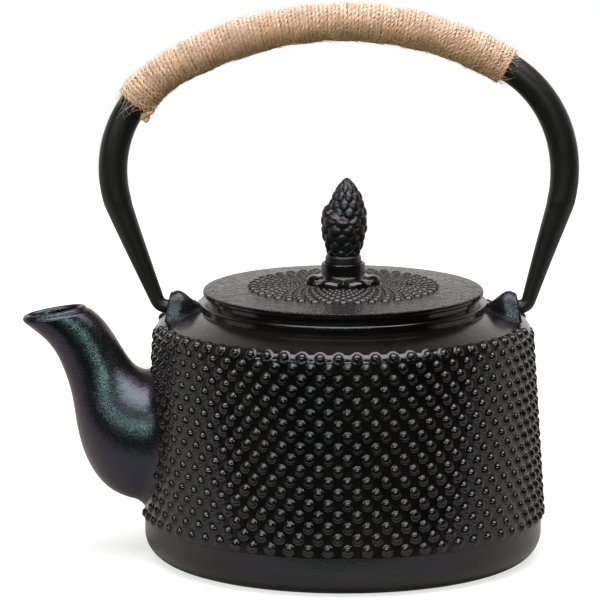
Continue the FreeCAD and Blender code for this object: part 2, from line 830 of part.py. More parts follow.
def biarc(start, start_way, end, end_way):
    """Two arcs that leave one point along its heading, meet tangent, and reach another along its own."""
    span = end - start
    both = start_way + end_way
    spread = 2 * (1 - start_way.dot(end_way))
    reach = (math.sqrt(span.dot(both) ** 2 + spread * span.dot(span)) - span.dot(both)) / spread
    meet = (start + start_way * reach + end - end_way * reach) / 2
    first = arc_from(start, start_way, meet)
    back = arc_from(end, end_way * -1, meet)
    second = Part.Arc(meet, back.value((back.FirstParameter + back.LastParameter) / 2), end)
    return [first, second]


def make_turns(name, line, binding, end, pitch):
    """The twine's turns at one end of the binding as one unbroken tube with straight ends."""
    turns = int(float(size.binding_turns_count))
    diameter = float(size.twine_diameter)

    def heading(turn):
        ahead = turn_point(line, binding, end, pitch, turn + HEADING_STEP)
        behind = turn_point(line, binding, end, pitch, turn - HEADING_STEP)
        return (ahead - behind).normalize()

    quarters = [quarter / 4 for quarter in range(4 * turns + 1)]
    points = [turn_point(line, binding, end, pitch, turn) for turn in quarters]
    ways = [heading(turn) for turn in quarters]
    first, last = points[0] - ways[0] * diameter, points[-1] + ways[-1] * diameter
    curves = [Part.LineSegment(first, points[0])]
    for i in range(4 * turns):
        curves += biarc(points[i], ways[i], points[i + 1], ways[i + 1])
    curves.append(Part.LineSegment(points[-1], last))
    path = Part.Wire([curve.toShape() for curve in curves])
    section = Part.Wire(Part.Circle(first, ways[0], diameter / 2).toShape())
    shell = Part.BRepOffsetAPI.MakePipeShell(path)
    shell.add(section)
    shell.build()
    shell.makeSolid()
    coil = doc.addObject("Part::Feature", name)
    coil.Shape = shell.shape()
    coil.Placement = Placement()
    print(f"{name}: least gap between turns {least_gap(path, turns, diameter):.2f} mm")
    return coil


def least_gap(path, turns, diameter):
    """The least free distance between points of the tube that lie over half a turn apart."""
    points = path.discretize(Number=turns * GAP_SAMPLES_PER_TURN)
    apart = GAP_SAMPLES_PER_TURN // 2
    nearest = min(
        (points[i] - other).Length for i in range(len(points)) for other in points[i + apart:]
    )
    return nearest - diameter


# Lid: a domed disc with a raised edge ring that sits on the mouth, a skirt inside it and a vent
def make_lid():
    plate_edge = lid_edge_height - size.lid_plate_thickness
    edge_under = lid_edge_height - size.lid_edge_thickness
    seat_inner = size.lid_step_radius - size.lid_seat_width
    skirt_inner = skirt_radius - size.lid_skirt_thickness
    skirt_bottom = mouth_height - size.lid_skirt_depth
    body = turned_body("lid", [
        (screw_hole_radius, lid_top_height),
        (size.lid_pad_radius, lid_top_height),
        (size.lid_radius, lid_edge_height),
        (size.lid_radius, edge_under),
        (size.lid_step_radius, edge_under),
        (size.lid_step_radius, mouth_height),
        (seat_inner, mouth_height),
        (seat_inner, plate_edge),
        (skirt_radius, plate_edge),
        (skirt_radius, skirt_bottom),
        (skirt_inner, skirt_bottom),
        (skirt_inner, plate_edge),
        (size.lid_pad_radius, lid_under_height),
        (screw_hole_radius, lid_under_height),
    ])
    round_ring(body, "lid_upper_edge", size.lid_edge_round, size.lid_radius, lid_edge_height)
    round_ring(body, "lid_lower_edge", size.lid_edge_round, size.lid_radius, edge_under)
    round_pocket(body, "XY_Plane", "lid_vent", size.vent_offset, 0, size.vent_radius, "Symmetric")
    return body


def make_lid_dots():
    """Rings of dots that grow outwards, each ring half a step on from the last, with room round the vent."""
    rings, arms = int(float(size.dot_rings_count)), int(float(size.dot_arms_count))
    inner, outer = float(size.dot_inner_radius), float(size.dot_outer_radius)
    fall = size.lid_crown_rise / (size.lid_radius - size.lid_pad_radius)
    tilt = math.atan(float(fall))
    vent = Vector(float(size.vent_offset), 0, 0)
    dots = []
    for ring in range(rings):
        grow = (outer / inner) ** (ring / (rings - 1))
        radius = size.dot_inner_radius * grow
        dot_radius = radius * size.dot_width_share * 2 * math.pi / arms
        dome, base_offset = make_dome(f"lid_dot_{ring}", dot_radius, dot_radius * size.dot_height_share)
        height = float(lid_top_height - fall * (radius - size.lid_pad_radius))
        for arm in range(arms):
            around = 2 * math.pi * (arm + ring % 2 / 2) / arms
            level = Vector(math.cos(around), math.sin(around), 0)
            if (level * float(radius) - vent).Length < float(size.vent_radius + dot_radius):
                continue
            spot = level * float(radius) + Vector(0, 0, height)
            outward = level * math.sin(tilt) + Vector(0, 0, math.cos(tilt))
            dots.append(seated_dome(dome, base_offset, spot, outward))
    lid_dots = doc.addObject("Part::Feature", "lid_dots")
    lid_dots.Shape = Part.makeCompound(dots)
    lid_dots.Placement = Placement()
    return lid_dots


# Knob: a flower-shaped seat with a cup, a pine cone with rows of scales, and the screw that holds them
def make_flower_seat():
    cup_radius = size.knob_band_radius + size.knob_clearance
    body = turned_body("flower_seat", [
        (screw_hole_radius, lid_top_height),
        (size.flower_radius, lid_top_height),
        (size.flower_radius, lid_top_height + size.flower_edge),
        (size.collar_radius, lid_top_height + size.flower_rise),
        (size.collar_radius, collar_top_height),
        (cup_radius, collar_top_height),
        (cup_radius, cup_height),
        (screw_hole_radius, cup_height),
    ])
    notch_out = size.flower_radius + size.flower_notch_radius / 3
    notch = round_pocket(
        body, "XY_Plane", "petal_notch", 0, notch_out, size.flower_notch_radius, "Symmetric"
    )
    polar_pattern(body, notch, "petal_notches", size.flower_petals_count)
    return body


def make_pinecone_knob():
    """A pine cone whose rows of scales stand out as rings, on a plain band that fits the cup."""
    rows = int(float(size.cone_rows_count))
    row_height = size.cone_height / rows
    widest, fullness = float(size.cone_widest_share), float(size.cone_fullness_share)
    outline = []
    for row in range(rows):
        share = (row + float(size.scale_tip_share)) / rows
        if share < widest:
            swell = math.sin(QUARTER_TURN * share / widest)
            rim = size.cone_foot_radius + (size.cone_radius - size.cone_foot_radius) * swell
        else:
            swell = math.cos(QUARTER_TURN * (share - widest) / (1 - widest)) ** fullness
            rim = size.cone_radius * swell
        low = cone_foot_height + row_height * row
        outline.append((rim - size.scale_depth, low))
        outline.append((rim, low + row_height * size.scale_tip_share))
    thread_radius = size.screw_radius + size.thread_clearance
    thread_end = cup_height + size.screw_grip + size.screw_end_gap
    return turned_body("pinecone_knob", [
        (thread_radius, cup_height),
        (size.knob_band_radius, cup_height),
        (size.knob_band_radius, cone_foot_height),
        *outline,
        (0, cone_foot_height + size.cone_height),
        (0, thread_end),
        (thread_radius, thread_end),
    ])


def make_knob_screw():
    head_top = lid_under_height - size.washer_thickness
    head_bottom = head_top - size.screw_head_height
    screw_end = cup_height + size.screw_grip
    return turned_body("knob_screw", [
        (0, head_bottom),
        (size.screw_head_radius, head_bottom),
        (size.screw_head_radius, head_top),
        (size.screw_radius, head_top),
        (size.screw_radius, screw_end),
        (0, screw_end),
    ])


def make_knob_washer():
    under = lid_under_height - size.washer_thickness
    return turned_body("knob_washer", [
        (screw_hole_radius, under),
        (size.washer_radius, under),
        (size.washer_radius, lid_under_height),
        (screw_hole_radius, lid_under_height),
    ])


# Infuser: a pressed rim that hangs on the ledge, a mesh wall and a pressed base with drain holes
def make_infuser_rim():
    rim_top = ledge_height + size.infuser_sheet
    collar_bottom = ledge_height - size.infuser_collar_depth
    collar_outer = infuser_inner_radius + size.infuser_sheet
    return turned_body("infuser_rim", [
        (infuser_inner_radius, collar_bottom),
        (collar_outer, collar_bottom),
        (collar_outer, ledge_height),
        (size.mouth_radius - size.infuser_clearance, ledge_height),
        (size.mouth_radius - size.infuser_clearance, rim_top),
        (infuser_inner_radius, rim_top),
    ])


def make_infuser_mesh():
    outer = infuser_inner_radius - size.infuser_seam
    inner = outer - size.infuser_mesh_thickness
    top = ledge_height - size.infuser_collar_depth + size.infuser_overlap
    bottom = infuser_bottom + size.infuser_sheet
    return turned_body("infuser_mesh", [(inner, bottom), (outer, bottom), (outer, top), (inner, top)])


def make_infuser_base():
    outer = infuser_inner_radius + size.infuser_sheet
    top = infuser_bottom + size.infuser_base_depth
    body = turned_body("infuser_base", [
        (0, infuser_bottom),
        (outer, infuser_bottom),
        (outer, top),
        (infuser_inner_radius, top),
        (infuser_inner_radius, infuser_bottom + size.infuser_sheet),
        (0, infuser_bottom + size.infuser_sheet),
    ])
    for ring in range(1, int(float(size.infuser_rings_count)) + 1):
        hole = round_pocket(
            body,
            "XY_Plane",
            f"drain_hole_{ring}",
            size.infuser_ring_pitch * ring,
            0,
            size.infuser_hole_radius,
            "Symmetric",
        )
        polar_pattern(body, hole, f"drain_ring_{ring}", size.infuser_ring_holes_count * ring)
    return body


def make_teapot():
    """Every sub-part of the teapot, in its place."""
    envelope = make_pot_envelope()
    line = HandleLine()
    binding = Binding(line)
    return [
        make_pot_base(),
        make_pot_wall(),
        make_pot_shoulder(),
        make_hobnails(),
        make_spout(envelope),
        make_ear("right_ear", 0, envelope),
        make_ear("left_ear", 180, envelope),
        make_handle_bar(line),
        make_grip(line, binding),
        make_turns("left_binding_turns", line, binding, binding.left_end, binding.left_pitch),
        make_turns("right_binding_turns", line, binding, binding.right_end, -binding.right_pitch),
        make_lid(),
        make_lid_dots(),
        make_flower_seat(),
        make_pinecone_knob(),
        make_knob_screw(),
        make_knob_washer(),
        make_infuser_rim(),
        make_infuser_mesh(),
        make_infuser_base(),
    ]


def check_document(parts):
    """Stops if any object failed to build or any sub-part has no good shape."""
    for thing in doc.Objects:
        if "Invalid" in thing.State or "Error" in thing.State:
            raise RuntimeError(f"{thing.Name} did not build: {thing.State}")
    for part in parts:
        if part.Shape.isNull() or not part.Shape.isValid():
            raise RuntimeError(f"{part.Label} has no valid shape")


def write_parts(parts):
    os.makedirs("parts", exist_ok=True)
    for part in parts:
        part.Shape.exportStep(os.path.join("parts", f"{part.Label}.step"))
        box = part.Shape.BoundBox
        print(
            f"{part.Label}: {len(part.Shape.Solids)} solid, {part.Shape.Volume / 1000:.2f} cm3, "
            f"x {box.XMin:.1f} to {box.XMax:.1f}, y {box.YMin:.1f} to {box.YMax:.1f}, "
            f"z {box.ZMin:.1f} to {box.ZMax:.1f}"
        )


parts = make_teapot()
doc.recompute()
check_document(parts)
write_parts(parts)
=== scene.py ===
"""Looks of a cast-iron teapot: hobnail wall, curved spout, twine-bound bail, dotted lid and pine-cone knob.

Every new piece is a surface worked out as whole arrays on a grid of points, in metres, in the frame of the
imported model: +Z up, the spout towards -X, and the origin at the middle of the pot's base.
"""
import math

import bmesh
import bpy
import numpy as np
from bpy.props import FloatProperty, FloatVectorProperty, IntProperty, PointerProperty
from mathutils import Matrix


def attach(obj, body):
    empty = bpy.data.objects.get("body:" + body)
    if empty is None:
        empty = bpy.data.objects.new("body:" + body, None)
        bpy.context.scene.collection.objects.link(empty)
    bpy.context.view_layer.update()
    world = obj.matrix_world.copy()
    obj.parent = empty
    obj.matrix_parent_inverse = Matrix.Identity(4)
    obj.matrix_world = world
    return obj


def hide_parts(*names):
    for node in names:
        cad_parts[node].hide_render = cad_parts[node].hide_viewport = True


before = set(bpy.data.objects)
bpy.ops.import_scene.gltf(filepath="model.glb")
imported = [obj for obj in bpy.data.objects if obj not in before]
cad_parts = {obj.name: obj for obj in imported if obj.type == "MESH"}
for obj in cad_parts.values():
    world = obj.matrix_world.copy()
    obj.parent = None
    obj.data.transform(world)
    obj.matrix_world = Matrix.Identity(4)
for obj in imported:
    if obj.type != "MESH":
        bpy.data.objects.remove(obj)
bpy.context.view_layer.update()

bl_info = {
    "name": "Cast-iron teapot",
    "version": (1, 0, 0),
    "blender": (4, 5, 0),
    "location": "View3D > Sidebar > Teapot",
    "description": "Builds the looks of a cast-iron teapot round its packed solids",
    "category": "Object",
}

MM = 0.001
TURN = 2 * math.pi
SEED = 7
SIDEWAYS = np.array([0.0, 1.0, 0.0])
UP = np.array([0.0, 0.0, 1.0])

POT_NODES = ["pot_base", "pot_wall", "pot_shoulder"]

# Pot: radius and height of the foot and the top of the wall's slope and of the neck's foot
WALL_FOOT = (77.1 * MM, 15.6 * MM)
WALL_TOP = (72.1 * MM, 91.3 * MM)
NECK_FOOT = (55.0 * MM, 96.4 * MM)
MOUTH_HEIGHT = 99.5 * MM
SHOULDER_ROUND = 4.5 * MM

# Studs: shares of the radius and of the height from the edge of the fillet to the top
STUD_PROFILE = [
    (1.0, -0.02), (0.84, 0.015), (0.73, 0.07), (0.66, 0.18), (0.58, 0.44), (0.50, 0.68), (0.375, 0.87),
    (0.195, 0.97), (0.0, 1.0),
]
STUD_SIDES = 10
# The lowest row is lifted by this share of a row's step, and the top row is this far round the shoulder's arc
LOWEST_ROW_LIFT, TOP_ROW_SHARE = 0.62, 0.45

# Spout stations in millimetres: lower edge out and up, upper edge out and up, half width; out is along -X
SPOUT_STATIONS = np.array([
    (66.1, 20.0, 62.1, 71.5, 24.5),
    (89.9, 25.8, 70.1, 71.8, 23.0),
    (101.4, 44.5, 77.7, 72.6, 17.8),
    (104.5, 61.5, 82.6, 76.8, 13.2),
    (108.1, 73.7, 86.8, 83.5, 11.2),
    (113.9, 83.3, 92.1, 91.3, 10.2),
    (124.3, 91.8, 98.0, 96.6, 9.6),
]) * MM

# Bail: its bends and turned angles from the crown down, its straight lengths, radii and lean to the left
HINGE_HEIGHT = 97.2 * MM
CROWN_TOP = 207.6 * MM
CROWN_RADIUS, BEND_RADIUS, HOOK_BEND_RADIUS = 125.0 * MM, 46.0 * MM, 4.0 * MM
CROWN_ANGLE, LEG_ANGLE = 0.5401, math.radians(109.5)
LEG_LENGTH, HOOK_LENGTH = 37.3 * MM, 5.35 * MM
BAR_RADIUS, LEG_FOOT_RADIUS = 5.6 * MM, 2.75 * MM
HAND_BEND = 1.8 * MM
BAIL_STEPS = 700

# Twine: where the winding starts and ends along the bail, measured from the crown
TWINE_LEFT, TWINE_RIGHT = -87.4 * MM, 66.4 * MM

# Lid and knob heights and radii, and the vent hole's distance from the axis
LID_TOP, LID_EDGE = 106.4 * MM, 104.1 * MM
LID_PAD_RADIUS, LID_RADIUS = 15.5 * MM, 54.0 * MM
VENT_PLACE, VENT_RADIUS = 25.0 * MM, 2.0 * MM
COLLAR_RADIUS, COLLAR_TOP, CUP_RADIUS, CUP_FLOOR = 8.4 * MM, 114.6 * MM, 7.2 * MM, 112.6 * MM
CONE_FOOT, CONE_HEIGHT = 117.8 * MM, 29.6 * MM

# Dots of the lid: shares of the radius and of the height from the edge to the top
DOT_PROFILE = [(1.0, -0.25), (0.82, 0.45), (0.5, 0.85), (0.0, 1.0)]
DOT_SIDES = 8

# Iron finishes: grain scale, strength and depth of its bump, least and most roughness, share of the film
IRON_FINISHES = {
    "black_casting": (1500.0, 0.4, 0.08 * MM, 0.08, 0.18, 0.25),
    "black_spout_casting": (1500.0, 0.6, 0.16 * MM, 0.17, 0.33, 0.8),
    "black_ear_casting": (1500.0, 0.7, 0.18 * MM, 0.22, 0.38, 0.5),
    "black_knob_casting": (1600.0, 0.5, 0.10 * MM, 0.28, 0.46, 0.35),
    "black_lid_casting": (750.0, 1.0, 0.55 * MM, 0.14, 0.42, 0.25),
    "black_dot_casting": (1500.0, 0.4, 0.10 * MM, 0.20, 0.34, 0.2),
    "black_bar": (1900.0, 0.2, 0.10 * MM, 0.34, 0.50, 0.1),
}
IRON_INDEX = 1.5

# Lamps: name, place, width and height in metres, power in watts, colour; all of them face one point
LAMP_AIM = (0.0, 0.0, 0.1)
STRIP_TINT = (0.82, 1.0, 0.87)
LAMPS = [
    ("overhead_lamp", (0.05, -0.30, 1.35), (1.7, 1.0), 34.0, (1.0, 0.95, 0.93)),
    ("front_lamp", (-0.10, -1.95, 0.88), (1.8, 0.06), 17.0, STRIP_TINT),
    ("left_lamp", (-1.40, -1.35, 0.88), (1.0, 0.06), 6.0, STRIP_TINT),
]


class TeapotSizes(bpy.types.PropertyGroup):
    """Sizes of the teapot's dressing."""

    stud_count: IntProperty(name="Studs in a row", description="Studs round the pot in each row", default=65)
    stud_rows: IntProperty(name="Rows of studs", description="Rows from the foot to the shoulder", default=18)
    stud_radius: FloatProperty(
        name="Stud radius", description="Radius of a stud with its fillet", default=2.8 * MM, unit="LENGTH"
    )
    stud_height: FloatProperty(
        name="Stud height", description="How far a stud stands out", default=1.35 * MM, unit="LENGTH"
    )
    dot_arms: IntProperty(name="Dots in a ring", description="Dots in each ring on the lid", default=40)
    dot_rings: IntProperty(name="Rings of dots", description="Rings of dots on the lid", default=9)
    scale_rows: IntProperty(name="Rows of scales", description="Rows of scales on the pine cone", default=9)
    scale_count: IntProperty(name="Scales in a row", description="Scales round the pine cone", default=9)
    twine_diameter: FloatProperty(
        name="Twine diameter", description="Thickness of the twine", default=1.6 * MM, unit="LENGTH"
    )
    twine_turns: IntProperty(name="Turns of twine", description="Turns round the bar", default=104)
    fibre_count: IntProperty(name="Loose fibres", description="Fibres that stand off the twine", default=7600)
    wire_columns: IntProperty(name="Upright wires", description="Upright wires of the mesh", default=168)
    wire_rows: IntProperty(name="Level wires", description="Level wires of the mesh", default=30)


class TeapotFinish(bpy.types.PropertyGroup):
    """Colours of the teapot's materials."""

    iron_dark: FloatVectorProperty(
        name="Iron", description="Deep colour of the iron", subtype="COLOR", default=(0.0024, 0.0022, 0.0022)
    )
    iron_bloom: FloatVectorProperty(
        name="Iron bloom", description="Warm bloom on it", subtype="COLOR", default=(0.0070, 0.0060, 0.0056)
    )
    twine_light: FloatVectorProperty(
        name="Twine light", description="Light fibres", subtype="COLOR", default=(1.0, 0.66, 0.41)
    )
    twine_dark: FloatVectorProperty(
        name="Twine dark", description="Dark fibres", subtype="COLOR", default=(0.60, 0.30, 0.125)
    )
    # Painted light: a pale colour that the upper side of the grip is mixed towards
    twine_painted_light: FloatVectorProperty(
        name="Twine cream", description="Painted light on the upper side", subtype="COLOR", default=(1.0, 0.94, 0.90)
    )
    # Painted shade: a brown that the lower side of the grip is mixed towards
    twine_painted_shade: FloatVectorProperty(
        name="Twine brown", description="Painted shade on the lower side", subtype="COLOR", default=(0.74, 0.30, 0.04)
    )
    film_thickness: FloatProperty(
        name="Lacquer film", description="Nanometres of the film that tints the gloss", default=387.0
    )
    film_index: FloatProperty(
        name="Film index", description="Refractive index of the film that tints the gloss", default=1.59
    )
    steel: FloatVectorProperty(
        name="Steel", description="Steel of the infuser", subtype="COLOR", default=(0.62, 0.61, 0.60)
    )


def sizes():
    """The dressing's sizes as the sidebar holds them."""
    return bpy.context.scene.teapot_sizes


def finish():
    """The dressing's colours as the sidebar holds them."""
    return bpy.context.scene.teapot_finish


# Surfaces

def grid_quads(rows, columns):
    """Corner numbers of the quads between neighbours on a grid of rows by columns of points."""
    row, column = np.meshgrid(np.arange(rows - 1), np.arange(columns - 1), indexing="ij")
    first = row * columns + column
    return np.stack([first, first + 1, first + columns + 1, first + columns], axis=-1).reshape(-1, 4)


def signed_volume(points, quads):
    """Six times the volume inside closed quads, by tetrahedra from the origin; negative if inside out."""
    a, b, c, d = (points[quads[:, corner]] for corner in range(4))
    return (np.cross(a, b) * c).sum() + (np.cross(a, c) * d).sum()


def grid_surface(points):
    """Flat list of points and outward quads of a closed grid whose ends meet or shrink to a point."""
    flat = points.reshape(-1, 3)
    quads = grid_quads(*points.shape[:2])
    return flat, quads if signed_volume(flat, quads) > 0 else quads[:, ::-1]


def repeated_quads(quads, count, points_each):
    """The quads of one shape, numbered on for each of its repeats."""
    return (quads[None] + np.arange(count)[:, None, None] * points_each).reshape(-1, 4)


def repeated(template, quads, origins, frames):
    """A template set at each origin: its x, y and z run along the three rows of that origin's frame."""
    points = origins[:, None, :] + np.einsum("mk,nkj->nmj", template, frames)
    return points.reshape(-1, 3), repeated_quads(quads, len(origins), len(template))


def joined(surfaces):
    """Several sets of points and quads as one; anything after these two in a set is left out."""
    shifts = np.cumsum([0] + [len(surface[0]) for surface in surfaces])
    points = np.concatenate([surface[0] for surface in surfaces])
    quads = np.concatenate([surface[1] + shift for surface, shift in zip(surfaces, shifts)])
    return points, quads


def turned(radius, height, angle):
    """Points round the axis at each radius, height and angle, broadcast against each other."""
    radius, height, angle = np.broadcast_arrays(radius, height, angle)
    return np.stack([radius * np.cos(angle), radius * np.sin(angle), height], axis=-1)


def ways_round(angle):
    """Unit directions away from the axis and round it at each angle."""
    level = np.zeros_like(angle)
    out = np.stack([np.cos(angle), np.sin(angle), level], axis=-1)
    around = np.stack([-np.sin(angle), np.cos(angle), level], axis=-1)
    return out, around


def unit(vectors):
    """Vectors brought to a length of one."""
    return vectors / np.linalg.norm(vectors, axis=-1, keepdims=True)


def add_piece(name, points, quads, material, body, slot, replaces=(), uv=None):
    """Puts points and quads into a smooth mesh with its seams merged, and sets it on a body of the frame."""
    merge_distance = 1e-7
    mesh = bpy.data.meshes.new(name)
    mesh.vertices.add(len(points))
    mesh.vertices.foreach_set("co", points.astype(np.float32).ravel())
    mesh.loops.add(quads.size)
    mesh.loops.foreach_set("vertex_index", quads.astype(np.int32).ravel())
    mesh.polygons.add(len(quads))
    mesh.polygons.foreach_set("loop_start", np.arange(0, quads.size, 4, dtype=np.int32))
    mesh.update(calc_edges=True)
    for layer_name, spread in (uv or {}).items():
        layer = mesh.uv_layers.new(name=layer_name)
        layer.data.foreach_set("uv", spread[quads.ravel()].astype(np.float32).ravel())
    merged = bmesh.new()
    merged.from_mesh(mesh)
    bmesh.ops.remove_doubles(merged, verts=merged.verts, dist=merge_distance)
    merged.to_mesh(mesh)
    merged.free()
    mesh.polygons.foreach_set("use_smooth", np.ones(len(mesh.polygons), dtype=bool))
    mesh.materials.append(material)
    piece = bpy.data.objects.new(name, mesh)
    bpy.context.scene.collection.objects.link(piece)
    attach(piece, body)
    if replaces:
        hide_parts(*replaces)


def spline(values, at):
    """Natural cubic spline through rows of values at whole-number knots, read at the given places."""
    count = len(values)
    system = np.eye(count)
    inner = np.arange(1, count - 1)
    system[inner, inner] = 4
    system[inner, inner - 1] = 1
    system[inner, inner + 1] = 1
    bend = np.zeros_like(values)
    bend[1:-1] = 6 * (values[2:] - 2 * values[1:-1] + values[:-2])
    bend = np.linalg.solve(system, bend)
    at = np.clip(np.asarray(at, float), 0, count - 1)
    knot = np.minimum(at.astype(int), count - 2)
    part = (at - knot)[:, None]
    rest = 1 - part
    ends = values[knot] * rest + values[knot + 1] * part
    return ends + ((rest**3 - rest) * bend[knot] + (part**3 - part) * bend[knot + 1]) / 6


def smooth_step(low, high, value):
    """Rises from 0 at low to 1 at high with level ends."""
    share = np.clip((value - low) / (high - low), 0, 1)
    return share * share * (3 - 2 * share)


def ripple(angle, height, seed, reach):
    """A gentle unevenness of about -1 to 1: the sum of a few waves round the axis and up it.

    Each wave has up to reach crests round the axis, and as many on a hundred millimetres of height.
    """
    waves, span = 6, 100 * MM
    chance = np.random.default_rng(seed)
    total = np.zeros(np.broadcast(angle, height).shape)
    for _ in range(waves):
        turns = chance.integers(1, reach + 1)
        climb = chance.uniform(-reach, reach) * TURN / span
        total = total + np.sin(turns * angle + climb * height + chance.uniform(0, TURN))
    return total / math.sqrt(waves / 2) / 2


# Materials

def new_material(name):
    """An empty node material with its output and a Principled shader."""
    material = bpy.data.materials.new(name)
    material.use_nodes = True
    tree = material.node_tree
    return material, tree, tree.nodes["Principled BSDF"]


def fill(tree, node, values):
    """Fills input sockets of a node: each takes a value or is linked to another node's output."""
    for name, value in values.items():
        if isinstance(value, bpy.types.NodeSocket):
            tree.links.new(value, node.inputs[name])
        else:
            node.inputs[name].default_value = value


def add_node(tree, kind, values, **settings):
    """A node with its settings and its filled input sockets."""
    node = tree.nodes.new(kind)
    for setting, value in settings.items():
        setattr(node, setting, value)
    fill(tree, node, values)
    return node


def noise(tree, place, scale, detail, roughness):
    """The value of a noise texture."""
    values = {"Vector": place, "Scale": scale, "Detail": detail, "Roughness": roughness}
    return add_node(tree, "ShaderNodeTexNoise", values).outputs["Fac"]


def calculated(tree, operation, *values):
    """The result of a sum on values and other nodes' outputs."""
    return add_node(tree, "ShaderNodeMath", dict(enumerate(values)), operation=operation).outputs[0]


def ranged(tree, value, low=0.0, high=1.0, start=0.0, end=1.0, interpolation="LINEAR"):
    """A value mapped so that low gives start and high gives end, and held there beyond them."""
    values = {"Value": value, "From Min": low, "From Max": high, "To Min": start, "To Max": end}
    return add_node(tree, "ShaderNodeMapRange", values, interpolation_type=interpolation).outputs["Result"]


def mixed(tree, share, first, second):
    """A colour that goes from the first to the second by a share."""
    values = {"Factor": share, "A": first, "B": second}
    return add_node(tree, "ShaderNodeMix", values, data_type="RGBA").outputs["Result"]


def own_place(tree):
    """Places on the piece itself."""
    return add_node(tree, "ShaderNodeTexCoord", {}).outputs["Object"]


def split(tree, vector):
    """The three numbers of a vector."""
    return add_node(tree, "ShaderNodeSeparateXYZ", {0: vector}).outputs


def toned(tint, share):
    """A colour moved that share of the way to white, or to black where the share is below nothing."""
    goal = 1.0 if share > 0 else 0.0
    return (*(part + (goal - part) * abs(share) for part in tint), 1)


def grain_group():
    """Cast grain: three sizes of noise that give a height, slow mottling and a fine sparkle."""
    name, slow_scale, middle_share, middle_height = "Cast grain", 38.0, 0.22, 1.6
    if name in bpy.data.node_groups:
        return bpy.data.node_groups[name]
    group = bpy.data.node_groups.new(name, "ShaderNodeTree")
    group.interface.new_socket("Place", in_out="INPUT", socket_type="NodeSocketVector")
    group.interface.new_socket("Grain Scale", in_out="INPUT", socket_type="NodeSocketFloat")
    for output in ("Height", "Mottle", "Sparkle"):
        group.interface.new_socket(output, in_out="OUTPUT", socket_type="NodeSocketFloat")
    inside = group.nodes.new("NodeGroupInput")
    place, scale = inside.outputs["Place"], inside.outputs["Grain Scale"]
    middle_scale = calculated(group, "MULTIPLY", scale, middle_share)
    fine = noise(group, place, scale, detail=3.0, roughness=0.65)
    middle = noise(group, place, middle_scale, detail=4.0, roughness=0.55)
    slow = noise(group, place, slow_scale, detail=5.0, roughness=0.6)
    add_node(group, "NodeGroupOutput", {
        "Height": calculated(group, "MULTIPLY_ADD", middle, middle_height, fine),
        "Mottle": ranged(group, slow, low=0.36, high=0.66),
        "Sparkle": ranged(group, fine, low=0.35, high=0.68),
    })
    return group


def iron_material(name, smooth_below=None):
    """Black lacquered iron: mottled warm black, a sparkling roughness, cast grain, a thin film in its gloss.

    Where a height is given, the surface is ground smooth from half a millimetre below it.
    """
    if name in bpy.data.materials:
        return bpy.data.materials[name]
    ground_edge = 0.5 * MM
    grain_scale, bump, depth, smooth, rough, film_share = IRON_FINISHES[name]
    material, tree, shader = new_material(name)
    place = own_place(tree)
    grain = add_node(tree, "ShaderNodeGroup", {}, node_tree=grain_group())
    fill(tree, grain, {"Place": place, "Grain Scale": grain_scale})
    sparkle, height = grain.outputs["Sparkle"], grain.outputs["Height"]
    if smooth_below is not None:
        cast_share = ranged(tree, split(tree, place)["Z"], smooth_below - ground_edge, smooth_below)
        sparkle = calculated(tree, "MULTIPLY", sparkle, cast_share)
        height = calculated(tree, "MULTIPLY", height, cast_share)
    relief = add_node(tree, "ShaderNodeBump", {"Height": height, "Strength": bump, "Distance": depth})
    dark, bloom = toned(finish().iron_dark, 0), toned(finish().iron_bloom, 0)
    fill(tree, shader, {
        "Base Color": mixed(tree, grain.outputs["Mottle"], dark, bloom),
        "Roughness": ranged(tree, sparkle, start=smooth, end=rough),
        "Normal": relief.outputs["Normal"],
        "IOR": IRON_INDEX,
        "Thin Film Thickness": finish().film_thickness,
        "Thin Film IOR": IRON_INDEX + (finish().film_index - IRON_INDEX) * film_share,
    })
    return material


def twine_material(name, streaks, tone_shift=0.0):
    """Jute: fibre streaks along the strand, slow patches of tone, a rough surface with a soft sheen.

    Tone shift moves both of its colours that share of the way to white, or to black where it is below
    nothing.
    The upper side of the grip, which the second of its UV layers tells, is mixed towards a pale colour as
    painted light, and the lower side towards brown as painted shade.
    """
    if name in bpy.data.materials:
        return bpy.data.materials[name]
    painted_light_share, patch_scale, patch_share, fibre_share, across_strand = 0.45, 260.0, 0.55, 0.75, 5.0
    material, tree, shader = new_material(name)
    strand = add_node(tree, "ShaderNodeUVMap", {}, uv_map="strand").outputs["UV"]
    stretch = add_node(tree, "ShaderNodeMapping", {"Vector": strand, "Scale": (streaks, across_strand, 1.0)})
    fibres = noise(tree, stretch.outputs["Vector"], 1.0, detail=4.0, roughness=0.7)
    patches = noise(tree, own_place(tree), patch_scale, detail=3.0, roughness=0.6)
    fibre_part = calculated(tree, "MULTIPLY", fibres, fibre_share)
    blend = calculated(tree, "MULTIPLY_ADD", patches, patch_share, fibre_part)
    tone = ranged(tree, blend, low=0.48, high=0.76)
    colour = mixed(tree, tone, toned(finish().twine_dark, tone_shift), toned(finish().twine_light, tone_shift))
    # Painted light and shade: the grip's upper side is mixed towards pale cream and its lower side towards
    # brown
    side = add_node(tree, "ShaderNodeUVMap", {}, uv_map="side").outputs["UV"]
    upper = ranged(tree, split(tree, side)["X"], low=-0.45, high=0.75)
    shade = min(tone_shift, 0)
    painted_light_and_shade = mixed(tree, upper, toned(finish().twine_painted_shade, shade), toned(finish().twine_painted_light, shade))
    relief = add_node(tree, "ShaderNodeBump", {"Height": fibres, "Strength": 0.9, "Distance": 0.2 * MM})
    fill(tree, shader, {
        "Base Color": mixed(tree, painted_light_share, colour, painted_light_and_shade),
        "Normal": relief.outputs["Normal"],
        "Roughness": 0.85,
        "Specular IOR Level": 0.25,
        "Sheen Weight": 0.35,
    })
    return material


